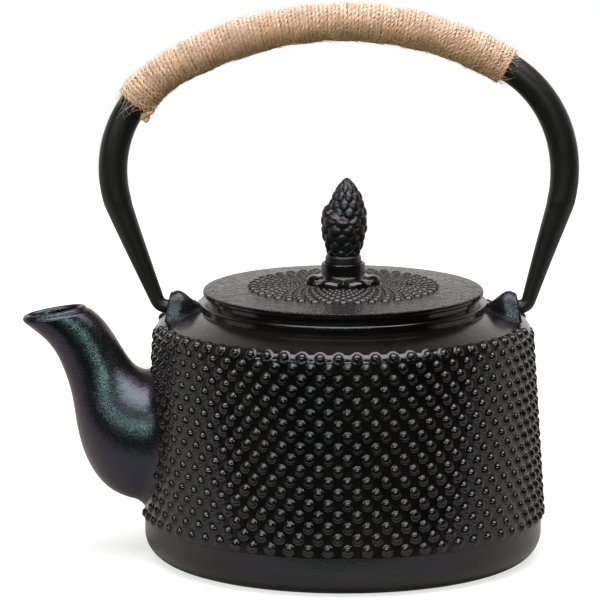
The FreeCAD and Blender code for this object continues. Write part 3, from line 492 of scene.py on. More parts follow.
def steel_material(name, stretch_by):
    """Stainless steel: metal with drawn streaks in its tone and roughness."""
    if name in bpy.data.materials:
        return bpy.data.materials[name]
    streak_shade = -0.28
    material, tree, shader = new_material(name)
    stretch = add_node(tree, "ShaderNodeMapping", {"Vector": own_place(tree), "Scale": stretch_by})
    streaks = noise(tree, stretch.outputs["Vector"], 1.0, detail=4.0, roughness=0.6)
    light = finish().steel
    fill(tree, shader, {
        "Base Color": mixed(tree, streaks, toned(light, streak_shade), toned(light, 0)),
        "Roughness": ranged(tree, streaks, start=0.22, end=0.44),
        "Metallic": 1.0,
    })
    return material


def dress_node(node, material):
    """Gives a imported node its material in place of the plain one."""
    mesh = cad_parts[node].data
    mesh.materials.clear()
    mesh.materials.append(material)


# Pot

def wall_line(count):
    """Radius, height and outward direction at even steps up the outer wall and round the shoulder's edge.

    The wall is a straight line from its foot to its top and the shoulder a second one to the neck; an arc of
    the shoulder's rounding joins them, and the line ends part of the way round that arc.
    """
    foot, top, neck = np.array(WALL_FOOT), np.array(WALL_TOP), np.array(NECK_FOOT)
    up, inward = unit(top - foot), unit(neck - top)
    turn = math.acos(up @ inward)
    start = top - up * SHOULDER_ROUND * math.tan(turn / 2)
    side = np.array([up[1], -up[0]])
    centre = start - side * SHOULDER_ROUND
    straight = np.linalg.norm(start - foot)
    along = np.linspace(0, 1, count) * (straight + SHOULDER_ROUND * turn * TOP_ROW_SHARE)
    angle = np.clip((along - straight) / SHOULDER_ROUND, 0, None)
    normal = side * np.cos(angle)[:, None] + up * np.sin(angle)[:, None]
    on_wall = foot + up * along[:, None]
    on_arc = centre + normal * SHOULDER_ROUND
    return np.where((along <= straight)[:, None], on_wall, on_arc), normal


def dome_template(radius, height, sides, profile):
    """A small dome with a base fillet: rings at shares of its radius, lifted by shares of its height."""
    share, lift = np.array(profile).T[..., None]
    return grid_surface(turned(radius * share, height * lift, np.linspace(0, TURN, sides + 1)))


def stud_places():
    """Origin and frame of every stud: staggered rows up the wall.

    None stands where the spout grows out of the wall, nor in the top row where the bail swings past.
    """
    root_height, root_half_height, root_half_width = 45.8 * MM, 28.0 * MM, 26.5 * MM
    bail_half_width = 12.0 * MM
    count, rows = sizes().stud_count, sizes().stud_rows
    line, normal = wall_line(rows)
    line = line + (line[1] - line[0]) * LOWEST_ROW_LIFT * (1 - np.linspace(0, 1, rows))[:, None]
    step = np.arange(count) * TURN / count
    angle = step[None] + (np.arange(rows) % 2)[:, None] * (TURN / count / 2)
    out, around = ways_round(angle)
    origin = out * line[:, None, :1] + UP * line[:, None, 1:]
    outward = out * normal[:, None, :1] + UP * normal[:, None, 1:]
    frames = np.stack([around, np.cross(outward, around), outward], axis=-2).reshape(-1, 3, 3)
    origin = origin.reshape(-1, 3)
    x, y, z = origin.T
    at_root = (x < 0) & ((y / root_half_width) ** 2 + ((z - root_height) / root_half_height) ** 2 < 1)
    at_bail = (np.repeat(np.arange(rows), count) == rows - 1) & (np.abs(y) < bail_half_width)
    free = ~at_root & ~at_bail
    return origin[free], frames[free]


def make_hobnails():
    """The studs: one small dome set at every place on the wall."""
    template, quads = dome_template(sizes().stud_radius, sizes().stud_height, STUD_SIDES, STUD_PROFILE)
    studs = repeated(template, quads, *stud_places())
    add_piece("hobnail_studs", *studs, iron_material("black_casting"), "pot", "black_iron", ["hobnails"])


def make_mouth_bead():
    """A bead round the pot's mouth: a small circle turned about the axis."""
    bead, inset, drop = 0.8 * MM, 0.4 * MM, 0.7 * MM
    turn = np.linspace(0, TURN, 17)[:, None]
    radius = NECK_FOOT[0] - inset + bead * np.cos(turn)
    height = MOUTH_HEIGHT - drop + bead * np.sin(turn)
    points = turned(radius, height, np.linspace(0, TURN, 193))
    add_piece("mouth_bead", *grid_surface(points), iron_material("black_casting"), "pot", "black_iron")


# Spout

def spout_grid(shares, wall, columns):
    """Ellipses across the spout at shares of its length, drawn in by a wall.

    Each point is the middle between the lower and the upper edge, plus an upright and a sideways reach.
    """
    knots = shares * (len(SPOUT_STATIONS) - 1)
    low_out, low_up, high_out, high_up, half_width = spline(SPOUT_STATIONS, knots).T
    level = np.zeros_like(shares)
    middle = np.stack([-(low_out + high_out) / 2, level, (low_up + high_up) / 2], axis=-1)
    across = np.stack([-(high_out - low_out) / 2, level, (high_up - low_up) / 2], axis=-1)
    reach = np.linalg.norm(across, axis=1)
    angle = np.linspace(0, TURN, columns)
    wall = np.broadcast_to(wall, shares.shape)
    upright = unit(across)[:, None] * ((reach - wall)[:, None] * np.cos(angle))[..., None]
    side = SIDEWAYS * ((half_width - wall)[:, None] * np.sin(angle))[..., None]
    return middle[:, None] + upright + side


def wall_radius(height):
    """Outer radius of the pot's wall at a height."""
    share = (height - WALL_FOOT[1]) / (WALL_TOP[1] - WALL_FOOT[1])
    return WALL_FOOT[0] + (WALL_TOP[0] - WALL_FOOT[0]) * share


def make_spout():
    """The cast spout: outside from the root, round the lip and back down the bore.

    Outside, each point is pushed away from the spout's middle where it nears the pot's wall, by a share that
    grows to the fillet's size at the wall. The lip is half a circle carried round the mouth.
    """
    columns, bore_rows = 97, 81
    lip_radius, root_wall = 1.4 * MM, 3.2 * MM
    root, neck, first_of_lip = 0.02, 0.975, 0.978
    lip_run, drawn = 0.025, 0.8 * MM
    fillet, fillet_reach, fillet_limit = 1.6 * MM, 4.0 * MM, 1.3
    unevenness = 0.10 * MM
    shares = np.concatenate([np.linspace(root, neck, 116), np.linspace(first_of_lip, 1, 10)])
    drawn_in = drawn * np.clip((shares - neck) / lip_run, 0, 1) ** 2
    outside = spout_grid(shares, drawn_in, columns)
    away = unit(outside - outside[:, :-1].mean(axis=1, keepdims=True))
    beyond = np.hypot(outside[..., 0], outside[..., 1]) - wall_radius(outside[..., 2])
    flare = fillet * np.clip(1 - beyond / fillet_reach, 0, fillet_limit) ** 2
    outside = outside + away * flare[..., None]
    uneven = ripple(np.linspace(0, TURN, columns)[None], outside[..., 2], SEED, reach=4)
    outside = outside + away * (unevenness * uneven)[..., None]
    rim, outward = outside[-1], away[-1]
    mouth_way = unit(np.cross(rim[0] - rim[columns // 2], SIDEWAYS))
    mouth_way = mouth_way * np.sign(mouth_way[2])
    turn = np.linspace(0, math.pi, 11)[1:, None, None]
    lip = rim - lip_radius * outward * (1 - np.cos(turn)) + lip_radius * mouth_way * np.sin(turn)
    inwards = np.linspace(1, root, bore_rows)
    wide = spout_grid(inwards, drawn_in[-1] + 2 * lip_radius, columns)
    narrow = spout_grid(inwards, root_wall, columns)
    fade = np.linspace(0, 1, bore_rows)[:, None, None]
    bore = wide * (1 - fade) + narrow * fade
    surface = grid_surface(np.concatenate([outside, lip, bore[2:], outside[:1]]))
    add_piece("cast_spout", *surface, iron_material("black_spout_casting"), "pot", "black_iron", ["spout"])


# Ears

def shoulder_height(radius):
    """Height of the pot's shoulder at a radius: a straight fall from the neck's foot to the wall's top."""
    share = (radius - NECK_FOOT[0]) / (WALL_TOP[0] - NECK_FOOT[0])
    return NECK_FOOT[1] + (WALL_TOP[1] - NECK_FOOT[1]) * share


def make_ear(name, node, side):
    """A leaf-shaped hood: half ellipses that grow from a tail at the neck to an open face with a hollow.

    Along the hood its half width and its crown rise by smooth steps, and the crown dips before the face.
    The rows run from the tail over the outside, round the lip of the face, which is half a circle, and back
    into the hollow. The face leans towards the neck, and the foot of the outside flares onto the shoulder.
    """
    tail_x, face_x, hollow_depth = 55.0 * MM, 67.8 * MM, 6.5 * MM
    full_width, tail_width, foot = 6.3 * MM, 0.9 * MM, -8.0 * MM
    tail_crown, crown, dip = 1.5 * MM, 6.2 * MM, 0.7 * MM
    hollow_narrowing, hollow_fall = 1.2 * MM, 0.8 * MM
    lip, flare, flare_run = 0.9 * MM, 0.5 * MM, 0.4 * MM
    lean, lean_foot = math.tan(math.radians(12)), -4.5 * MM
    along = np.linspace(0, 1, 41)
    width = tail_width + (full_width - tail_width) * smooth_step(-0.05, 0.72, along)
    top = tail_crown + (crown - tail_crown) * smooth_step(0.1, 0.86, along)
    top = top - dip * smooth_step(0.88, 1.04, along)
    turn = np.linspace(0, math.pi, 11)[1:]
    inset = lip * (1 - np.cos(turn))
    back = np.linspace(0, 1, 8)[1:]
    out = np.concatenate([
        tail_x + (face_x - tail_x) * along, face_x + lip * np.sin(turn), face_x - hollow_depth * back,
    ])
    width = np.concatenate([width, width[-1] - inset, width[-1] - 2 * lip - hollow_narrowing * back])
    top = np.concatenate([top, top[-1] - inset, top[-1] - 2 * lip - hollow_fall * back])
    angle = np.linspace(0, math.pi, 57)
    across = width[:, None] * np.cos(angle)
    height = foot + (top - foot)[:, None] * np.sin(angle)
    reach = out[:, None] - lean * (height - lean_foot)
    above = HINGE_HEIGHT + height - shoulder_height(np.hypot(reach, across))
    spread = flare * np.exp(-np.clip(above, 0, None) / flare_run)
    spread[len(along):] = 0
    across = across + spread * np.sign(np.cos(angle))
    points = np.stack([reach, across, HINGE_HEIGHT + height], axis=-1)
    tips = [np.broadcast_to(row.mean(axis=0), (1, angle.size, 3)) for row in (points[0], points[-1])]
    points = np.concatenate([tips[0], points, tips[1]])
    points = np.concatenate([points, points[:, :1]], axis=1) * np.array([side, side, 1.0])
    add_piece(name, *grid_surface(points), iron_material("black_ear_casting"), "pot", "black_iron", [node])


# Bail

def bail_line():
    """Middle line of the bail from the left hook to the right one: places, outward sides and distances.

    From the top of the crown the line runs level and turns at a constant rate over each stretch: crown, bend,
    straight leg, hook bend and hook. Its places are the running sum of its direction. The whole bail leans to
    the left by half a sine wave between the hinge and the crown, as bent by hand. The ends of the stretches
    come last.
    """
    stretches = [
        (CROWN_RADIUS * CROWN_ANGLE, CROWN_ANGLE),
        (BEND_RADIUS * (LEG_ANGLE - CROWN_ANGLE), LEG_ANGLE),
        (LEG_LENGTH, LEG_ANGLE),
        (HOOK_BEND_RADIUS * (math.pi - LEG_ANGLE), math.pi),
        (HOOK_LENGTH, math.pi),
    ]
    ends = np.cumsum([0.0] + [run for run, _ in stretches])
    angles = np.array([0.0] + [angle for _, angle in stretches])
    along = np.linspace(0, ends[-1], BAIL_STEPS)
    angle = np.interp(along, ends, angles)
    step = along[1] - along[0]
    middle_angle = (angle[1:] + angle[:-1]) / 2
    x = np.concatenate([[0], np.cumsum(np.cos(middle_angle))]) * step
    z = CROWN_TOP - np.concatenate([[0], np.cumsum(np.sin(middle_angle))]) * step
    level = np.zeros(BAIL_STEPS)
    place = np.stack([x, level, z], axis=-1)
    outward = np.stack([np.sin(angle), level, np.cos(angle)], axis=-1)
    mirror = np.array([-1.0, 1.0, 1.0])
    place = np.concatenate([place[:0:-1] * mirror, place])
    outward = np.concatenate([outward[:0:-1] * mirror, outward])
    height_share = np.clip((place[:, 2] - HINGE_HEIGHT) / (CROWN_TOP - HINGE_HEIGHT), 0, 1)
    place[:, 0] -= HAND_BEND * np.sin(math.pi * height_share)
    distance = np.concatenate([-along[:0:-1], along])
    return place, outward, distance, ends


def round_bar(outward, angle):
    """Directions away from the bar: its outward side turned by each angle round its line."""
    return outward * np.cos(angle)[..., None] + SIDEWAYS * np.sin(angle)[..., None]


def bar_radius(distance, ends):
    """Radius of the bar at a distance from the crown: full to the bend's side, then tapering to the hook.

    Each place has a share of the way from the radius at the leg's foot to the full one.
    """
    side = BEND_RADIUS * (math.pi / 2 - CROWN_ANGLE) + ends[1]
    places = [0, side - 8 * MM, side + 12 * MM, *ends[2:]]
    shares = np.array([1.0, 1.0, 0.93, 0.80, 0.0, -0.02, -0.18])
    return np.interp(np.abs(distance), places, LEG_FOOT_RADIUS + (BAR_RADIUS - LEG_FOOT_RADIUS) * shares)


def make_bail():
    """The bar: a circle carried along the bail's line, with forging waves in its radius and round ends."""
    forging_wave, tip_run = 0.012, 1.2 * MM
    place, outward, distance, ends = bail_line()
    angle = np.linspace(0, TURN, 41)
    wave = 1 + forging_wave * ripple(angle[None], distance[:, None], SEED + 1, reach=3)
    tip = np.clip((ends[-1] - np.abs(distance)) / tip_run, 0, 1)
    radius = bar_radius(distance, ends) * np.sqrt(1 - (1 - tip) ** 2)
    points = place[:, None] + round_bar(outward[:, None], angle) * (radius[:, None] * wave)[..., None]
    surface = grid_surface(points)
    add_piece("bail_bar", *surface, iron_material("black_bar"), "handle", "handle_iron", ["handle_bar"])


# Twine

def winding_swell(turn):
    """Slow swelling of the winding along the grip: two waves of unlike length multiplied, a third added."""
    slow = 0.30 * MM * np.sin(turn * 0.31 + 0.6) * np.sin(turn * 0.13)
    return slow + 0.16 * MM * np.sin(turn * 0.67)


def grip_frame(distance):
    """Middle of the bail and its outward side at some distances along it."""
    place, outward, line_distance, _ = bail_line()
    return tuple(
        np.stack([np.interp(distance, line_distance, column) for column in values.T], axis=-1)
        for values in (place, outward)
    )


def along_line(line):
    """Unit directions along a line of points, and the length run so far."""
    forward = np.gradient(line, axis=0)
    return unit(forward), np.cumsum(np.linalg.norm(forward, axis=1))


def grip_distance(turn):
    """Distance along the bail that the winding has reached by a turn."""
    return TWINE_LEFT + (TWINE_RIGHT - TWINE_LEFT) * turn / sizes().twine_turns


def twine_line(steps_per_turn):
    """Middle line of the wound twine, its outward side, its forward way and the length run so far.

    It goes round the bar once for each turn while it moves along. Its way along and its height over the bar
    are a little uneven.
    """
    shifts_per_turn, shift = 3, 0.16
    lifts_per_turn, lowest, highest = 2, -0.18, 0.24
    start_angle = 2.2
    turns = sizes().twine_turns
    turn = np.linspace(0, turns, turns * steps_per_turn + 1)
    chance = np.random.default_rng(SEED)
    shift_knots = np.arange(shifts_per_turn * turns + 1)
    lift_knots = np.arange(lifts_per_turn * turns + 2)
    jitter = np.interp(turn * shifts_per_turn, shift_knots, chance.uniform(-shift, shift, len(shift_knots)))
    jitter[0] = jitter[-1] = 0
    lift = np.interp(turn * lifts_per_turn, lift_knots, chance.uniform(lowest, highest, len(lift_knots))) * MM
    middle, out = grip_frame(grip_distance(turn + jitter))
    radial = round_bar(out, TURN * turn + start_angle)
    reach = BAR_RADIUS + sizes().twine_diameter / 2 + lift + winding_swell(turn)
    line = middle + radial * reach[:, None]
    return line, radial, *along_line(line)


def upper_side(ring):
    """How far each outward direction points up, as a UV layer."""
    return np.stack([ring[..., 2], np.zeros(ring.shape[:-1])], axis=-1).reshape(-1, 2)


def fibre_place(along, across):
    """Places along and across the fibres, broadcast against each other, as a UV layer."""
    return np.stack(np.broadcast_arrays(along, across), axis=-1).reshape(-1, 2)


def twine_layers(parts):
    """The UV layers of several surfaces put end to end, each a little further along its fibres."""
    strand = [part[2] + np.array([40.0 * index, 0]) for index, part in enumerate(parts)]
    return {"strand": np.concatenate(strand), "side": np.concatenate([part[3] for part in parts])}


def strand_surface(line, radial, forward, run, lay, offset, radius, sides, start):
    """A strand twisted round a twine's middle line: its centre circles that line once in a lay, unevenly."""
    spin = 0.6
    across = np.cross(forward, radial)
    uneven = 1.4 * np.sin(run / (3.1 * MM)) * np.sin(run / (7.7 * MM))
    twist = TURN * run / lay + uneven + start
    centre = line + offset * (radial * np.cos(twist)[:, None] + across * np.sin(twist)[:, None])
    angle = np.linspace(0, TURN, sides + 1)[None] + twist[:, None] * spin
    ring = radial[:, None] * np.cos(angle)[..., None] + across[:, None] * np.sin(angle)[..., None]
    radius = np.broadcast_to(radius, run.shape).copy()
    radius[[0, -1]] = 0
    points = centre[:, None] + ring * radius[:, None, None]
    strand = fibre_place(run[:, None] / MM, np.linspace(0, 1, sides + 1)[None])
    return *grid_surface(points), strand, upper_side(ring)


def twine_bed():
    """A tube under the turns, which closes the gaps between them: a circle that follows their swelling."""
    sunk, turns_per_strand = 0.26, 5
    turn = np.linspace(0, sizes().twine_turns, 301)
    middle, out = grip_frame(grip_distance(turn))
    radius = BAR_RADIUS + sunk * sizes().twine_diameter + winding_swell(turn)
    radius[[0, -1]] = 0
    angle = np.linspace(0, TURN, 49)
    ring = round_bar(out[:, None], angle)
    points = middle[:, None] + ring * radius[:, None, None]
    strand = fibre_place(angle[None] * BAR_RADIUS / MM, turn[:, None] / turns_per_strand)
    return *grid_surface(points), strand, upper_side(ring)


def twine_stub_line():
    """Middle line of the tucked end of the twine: along the inner side of the bar, out past the last turn."""
    start, length, lean = 5.0, 9.2, math.radians(203)
    gap, drop = 1.1 * MM, 0.5 * MM
    share = np.linspace(0, 1, 25)
    middle, out = grip_frame(TWINE_LEFT + (start - length * share) * MM)
    radial = round_bar(out, np.full(len(out), lean))
    line = middle + radial * (BAR_RADIUS + gap + drop * share**2)[:, None]
    return line, radial, share


def make_twine():
    """The twine: two strands twisted together and wound round the bar over a bed, with a tucked end."""
    lay, strand_offset, strand_share, strand_sides = 4.0 * MM, 0.48, 0.66, 5
    stub_lay, stub_offset, stub_radius, stub_sides = 9.0 * MM, 0.75 * MM, 1.25 * MM, 9
    thinnest, fattest, fat_knots = 0.76, 1.20, 900
    streaks, bed_shade = 0.55, -0.6
    line, radial, forward, run = twine_line(steps_per_turn=64)
    chance = np.random.default_rng(SEED + 3)
    fat = np.interp(run, np.linspace(0, run[-1], fat_knots), chance.uniform(thinnest, fattest, fat_knots))
    thick = sizes().twine_diameter / 2
    stub, stub_radial, share = twine_stub_line()
    stub_forward, stub_run = along_line(stub)
    stub_thick = stub_radius * np.sqrt(1 - np.clip((share - 0.8) / 0.2, 0, 1) ** 2)
    parts = []
    for start in (0.0, math.pi):
        parts.append(strand_surface(
            line, radial, forward, run, lay, thick * strand_offset, thick * strand_share * fat, strand_sides,
            start,
        ))
        parts.append(strand_surface(
            stub, stub_radial, stub_forward, stub_run, stub_lay, stub_offset, stub_thick, stub_sides, start
        ))
    bed = twine_bed()
    # The bed's jute is darkened towards black: painted shade in the gaps between the turns
    add_piece(
        "twine_bed", *bed[:2], twine_material("jute_in_shade", streaks, tone_shift=bed_shade), "handle", "twine",
        uv=twine_layers([bed]),
    )
    add_piece(
        "twine_winding", *joined(parts), twine_material("jute_twine", streaks), "handle", "twine",
        ["grip_binding", "left_binding_turns", "right_binding_turns"], uv=twine_layers(parts),
    )


def hair_grid(base, way, out, bend, length, lift, curl, thin):
    """Hairs as thin three-sided tubes that taper to their tips.

    Each runs its length along a way, falls off with the bar's round by its bend, lifts and curls.
    """
    rows, columns = 5, 4
    wrap_radius, taper, strand_step = 7.2 * MM, 0.75, 17.0
    share = np.linspace(0, 1, rows)
    side = np.cross(way, out)
    run = length[:, None] * share
    rise = lift[:, None] * share**1.5 - bend[:, None] * run**2 / (2 * wrap_radius)
    sway = curl[:, None] * np.sin(share * math.pi)
    line = base[:, None] + way[:, None] * run[..., None]
    line = line + out[:, None] * rise[..., None] + side[:, None] * sway[..., None]
    angle = np.linspace(0, TURN, columns)
    ring = out[:, None, None] * np.cos(angle)[:, None] + side[:, None, None] * np.sin(angle)[:, None]
    tube = line[:, :, None] + ring * (thin * (1 - taper * share))[None, :, None, None]
    own_start = np.arange(len(base))[:, None, None] * strand_step
    strand = fibre_place(run[..., None] / MM + own_start, np.linspace(0, 1, columns))
    quads = repeated_quads(grid_quads(rows, columns), len(base), rows * columns)
    outward = np.broadcast_to(out[:, None, None], tube.shape)
    return tube.reshape(-1, 3), quads, strand, upper_side(outward)


def winding_hairs():
    """Hairs all over the winding, which leave the twine at chance angles and hug the bar's round."""
    root_share, spread, thin = 0.46, 0.9, 0.11 * MM
    shortest, longest, usual_lift, usual_curl = 1.5, 7.0, 0.24, 0.6
    line, radial, forward, _ = twine_line(steps_per_turn=44)
    chance = np.random.default_rng(SEED + 5)
    count = sizes().fibre_count
    root = chance.integers(0, len(line) - 1, count)
    out = radial[root]
    across = np.cross(forward, radial)[root]
    angle = chance.normal(0, spread, count) + math.pi * chance.integers(0, 2, count)
    way = forward[root] * np.cos(angle)[:, None] + across * np.sin(angle)[:, None]
    base = line[root] + out * sizes().twine_diameter * root_share
    length = chance.uniform(shortest, longest, count) * MM
    lift = chance.exponential(usual_lift, count) * MM
    curl = chance.normal(0, usual_curl, count) * MM
    return hair_grid(base, way, out, np.cos(angle) ** 2, length, lift, curl, thin)


def end_hairs(end, ahead, count, longest, seed):
    """Hairs that lie on the bar beyond one end of the winding, mostly along the bar."""
    root_height, spread, thin = 0.25 * MM, 0.6, 0.06 * MM
    shortest_share, usual_lift, usual_curl = 0.3, 0.25, 1.2
    chance = np.random.default_rng(seed)
    distance = np.full(count, end)
    middle, out = grip_frame(distance)
    forward = unit(grip_frame(distance + ahead * MM)[0] - middle)
    radial = round_bar(out, chance.uniform(0, TURN, count))
    turn = chance.normal(0, spread, count)
    way = forward * np.cos(turn)[:, None] + np.cross(forward, radial) * np.sin(turn)[:, None]
    base = middle + radial * (BAR_RADIUS + root_height)
    length = chance.uniform(shortest_share, 1.0, count) * longest
    lift = chance.exponential(usual_lift, count) * MM
    curl = chance.normal(0, usual_curl, count) * MM
    return hair_grid(base, way, radial, np.sin(turn) ** 2, length, lift, curl, thin)


def make_fibres():
    """Loose fibres over the winding and past both of its ends."""
    left = end_hairs(TWINE_LEFT, ahead=-1.0, count=26, longest=9.0 * MM, seed=SEED + 6)
    right = end_hairs(TWINE_RIGHT, ahead=1.0, count=18, longest=6.0 * MM, seed=SEED + 8)
    parts = [winding_hairs(), left, right]
    jute = twine_material("jute_fibre", streaks=0.2, tone_shift=0.2)
    add_piece("twine_fibres", *joined(parts), jute, "handle", "twine", uv=twine_layers(parts))


# Lid and knob

def lid_height(radius):
    """Height of the lid's top at a radius: level over the pad, then a straight fall to the edge."""
    share = np.clip((radius - LID_PAD_RADIUS) / (LID_RADIUS - LID_PAD_RADIUS), 0, 1)
    return LID_TOP + (LID_EDGE - LID_TOP) * share


def make_lid_dots():
    """Rings of dots whose radii grow by a constant ratio, each ring half a step on from the last.

    A dot grows with its ring. None stands where the vent goes through the lid.
    """
    inner_ring, outer_ring = 16.2 * MM, 35.0 * MM
    radius_share, least_height, height_share = 0.40, 0.25 * MM, 0.14
    arms, rings = sizes().dot_arms, sizes().dot_rings
    radius = inner_ring * (outer_ring / inner_ring) ** (np.arange(rings) / (rings - 1))
    angle = (np.arange(arms)[None] + (np.arange(rings) % 2)[:, None] / 2) * TURN / arms
    ring = np.broadcast_to(radius[:, None], angle.shape)
    origin = turned(ring, lid_height(ring), angle)
    out, around = ways_round(angle)
    step = ring * TURN / arms
    dot_radius = step * radius_share
    dot_height = least_height + step * height_share
    up = UP * dot_height[..., None]
    frames = np.stack([out * dot_radius[..., None], around * dot_radius[..., None], up], axis=-2)
    free = np.hypot(origin[..., 0] - VENT_PLACE, origin[..., 1]) > VENT_RADIUS + dot_radius
    template, quads = dome_template(radius=1.0, height=1.0, sides=DOT_SIDES, profile=DOT_PROFILE)
    dots = repeated(template, quads, origin[free], frames[free])
    add_piece("bead_rings", *dots, iron_material("black_dot_casting"), "lid", "black_iron", ["lid_dots"])


def rounded_profile(corners, rounding):
    """Corners of a line with each inner one replaced by a quadratic curve that starts a rounding away."""
    steps, most_of_side = 5, 0.45
    corners = np.array(corners, float)
    before, corner, after = corners[:-2], corners[1:-1], corners[2:]
    back, on = before - corner, after - corner
    back_run = np.linalg.norm(back, axis=1, keepdims=True)
    on_run = np.linalg.norm(on, axis=1, keepdims=True)
    near = np.minimum(rounding, np.minimum(back_run, on_run) * most_of_side)
    start, end = corner + back / back_run * near, corner + on / on_run * near
    share = np.linspace(0, 1, steps)[None, :, None]
    curve = start[:, None] * (1 - share) ** 2 + corner[:, None] * 2 * share * (1 - share)
    curve = curve + end[:, None] * share**2
    return np.concatenate([corners[:1], curve.reshape(-1, 2), corners[-1:]])


def make_flower_seat():
    """The seat: a profile turned round the axis, whose rim swells into six domed petals with notches."""
    petal_radius, notch, dome_height, dome_run = 14.2 * MM, 0.35, 1.3 * MM, 4 * MM
    line = rounded_profile([
        (0.0, CUP_FLOOR), (CUP_RADIUS, CUP_FLOOR), (CUP_RADIUS, COLLAR_TOP), (COLLAR_RADIUS, COLLAR_TOP),
        (COLLAR_RADIUS, LID_TOP + 3.4 * MM), (COLLAR_RADIUS + 0.8 * MM, LID_TOP + 2.8 * MM),
        (petal_radius - 3.2 * MM, LID_TOP + 2.2 * MM), (petal_radius - 1.0 * MM, LID_TOP + 1.4 * MM),
        (petal_radius, LID_TOP + 0.4 * MM), (petal_radius, LID_TOP), (0.0, LID_TOP),
    ], 0.7 * MM)
    radius, height = line.T[..., None]
    angle = np.linspace(0, TURN, 193)
    middle = np.abs(np.cos(3 * (angle + math.pi / 6 + math.pi / 2)))
    shrink = notch + (1 - notch) * middle**0.5
    beyond = np.clip(radius - COLLAR_RADIUS, 0, None)
    on_top = height > LID_TOP + 0.1 * MM
    dome = dome_height * middle**1.5 * smooth_step(0, dome_run, beyond) * on_top
    points = turned(np.minimum(radius, COLLAR_RADIUS) + beyond * shrink, height + dome, angle)
    surface = grid_surface(points)
    add_piece("petal_seat", *surface, iron_material("black_casting"), "lid", "black_iron", ["flower_seat"])


def cone_body(share):
    """Radius of the plain cone in millimetres: a sine up to its widest place, then a cosine to its point."""
    foot, full, widest, point = 6.3, 7.6, 0.42, 0.66
    low = foot + (full - foot) * np.sin(np.clip(share / widest, 0, 1) * math.pi / 2)
    high = full * np.cos(np.clip((share - widest) / (1 - widest), 0, 1) * math.pi / 2) ** point
    return np.where(share < widest, low, high)


def cone_lump(share, angle):
    """A lower lump on one side of the cone, in millimetres, whose upper edge falls away towards the front."""
    depth, middle, top, fall = 2.2, math.radians(212), 0.63, 0.16
    facing = np.clip(np.cos(angle - middle), 0, 1) ** 0.8
    edge = top - fall * smooth_step(math.radians(185), math.radians(275), angle)
    return depth * facing * smooth_step(0.02, 0.35, share) * (1 - smooth_step(-0.03, 0.035, share - edge))


def cone_scales(share, angle):
    """Relief of the scales in millimetres: the greatest of the half balls round the nearest scale middles.

    The balls are measured in steps round the axis and rows up it, and fade to the foot and the point.
    """
    half_width, half_height, cut, depth = 0.55, 0.80, 0.70, 1.7
    row = share * sizes().scale_rows
    best = np.zeros(np.broadcast(share, angle).shape)
    for shift in (-1, 0, 1):
        index = np.round(row) + shift
        around = (angle / TURN * sizes().scale_count + (index % 2) / 2) % 1 - 0.5
        ball = 1 - (around / half_width) ** 2 - ((row - index) / half_height) ** 2
        best = np.maximum(best, np.sqrt(np.clip(ball, 0, 1)))
    fade = np.clip((1 - share) * 5, 0.3, 1) * smooth_step(0.0, 0.05, share)
    return (best - cut) * depth * fade


def make_pine_cone():
    """The cone: a swelling profile with a lump and rows of scales, leaning a little, over a plain band."""
    band_radius, lean = 6.9 * MM, 1.3 * MM
    share = np.linspace(0, 1, 200)[:, None]
    angle = np.linspace(0, TURN, 181)[None]
    radius = cone_body(share) + cone_lump(share, angle) + cone_scales(share, angle)
    radius = np.clip(radius, 0, None) * MM
    radius[-1] = 0
    cone = turned(radius, CONE_FOOT + CONE_HEIGHT * share, angle)
    cone[..., 0] += lean * smooth_step(-0.05, 0.4, share)
    band = rounded_profile([
        (0.0, CUP_FLOOR), (band_radius, CUP_FLOOR), (band_radius, CONE_FOOT - 0.8 * MM),
        (6.2 * MM, CONE_FOOT - 0.2 * MM), (6.0 * MM, CONE_FOOT),
    ], 0.4 * MM)
    points = np.concatenate([turned(band[:, :1], band[:, 1:], angle), cone])
    iron = iron_material("black_knob_casting")
    add_piece("pine_cone", *grid_surface(points), iron, "lid", "black_iron", ["pinecone_knob"])


# Infuser

def wire_tubes(angle, height, radius, level):
    """Wires as thin square tubes along rows of angles, heights and radii, level ones or upright ones."""
    thin = 0.14 * MM
    corner = np.linspace(0, TURN, 5) + math.pi / 4
    angle, height, radius = np.broadcast_arrays(angle, height, radius)
    out, around = ways_round(angle)
    side = UP if level else around[..., None, :]
    ring = out[..., None, :] * np.cos(corner)[:, None] + side * np.sin(corner)[:, None]
    points = turned(radius, height, angle)[..., None, :] + ring * thin
    wires, steps, corners = points.shape[:3]
    return points.reshape(-1, 3), repeated_quads(grid_quads(steps, corners), wires, steps * corners)


def make_infuser_mesh():
    """Woven wire: upright and level wires that pass each other by a small wave."""
    columns, rows = sizes().wire_columns, sizes().wire_rows
    middle, low, high, wave = 42.95 * MM, 42.6 * MM, 91.7 * MM, 0.15 * MM
    column, row = np.arange(columns)[:, None], np.arange(rows)[:, None]
    steps = np.arange(2 * rows + 1)
    upright = wire_tubes(
        column * TURN / columns,
        low + (high - low) * steps / (2 * rows),
        middle + wave * (-1.0) ** column * np.sin(steps * math.pi / 2),
        level=False,
    )
    steps = np.arange(2 * columns + 1)
    level = wire_tubes(
        steps * math.pi / columns,
        low + (high - low) * (row + 0.5) / rows,
        middle - wave * (-1.0) ** row * np.cos(steps * math.pi / 2),
        level=True,
    )
    steel = steel_material("steel_wire", stretch_by=(900, 900, 900))
    add_piece("wire_mesh", *joined([upright, level]), steel, "infuser", "steel", ["infuser_mesh"])


# Stage

def soft_lamp(name, place, size, power, colour):
    """A rectangular soft lamp at a place, which faces the point that all lamps aim at."""
    lamp = bpy.data.lights.new(name, "AREA")
    lamp.shape = "RECTANGLE"
    lamp.size, lamp.size_y = size
    lamp.energy = power
    lamp.color = colour
    holder = bpy.data.objects.new(name, lamp)
    bpy.context.scene.collection.objects.link(holder)
    back = unit(np.array(place) - np.array(LAMP_AIM))
    side = unit(np.cross(UP, back))
    placed = np.eye(4)
    placed[:3] = np.stack([side, np.cross(back, side), back, place], axis=-1)
    holder.matrix_world = Matrix(placed.tolist())


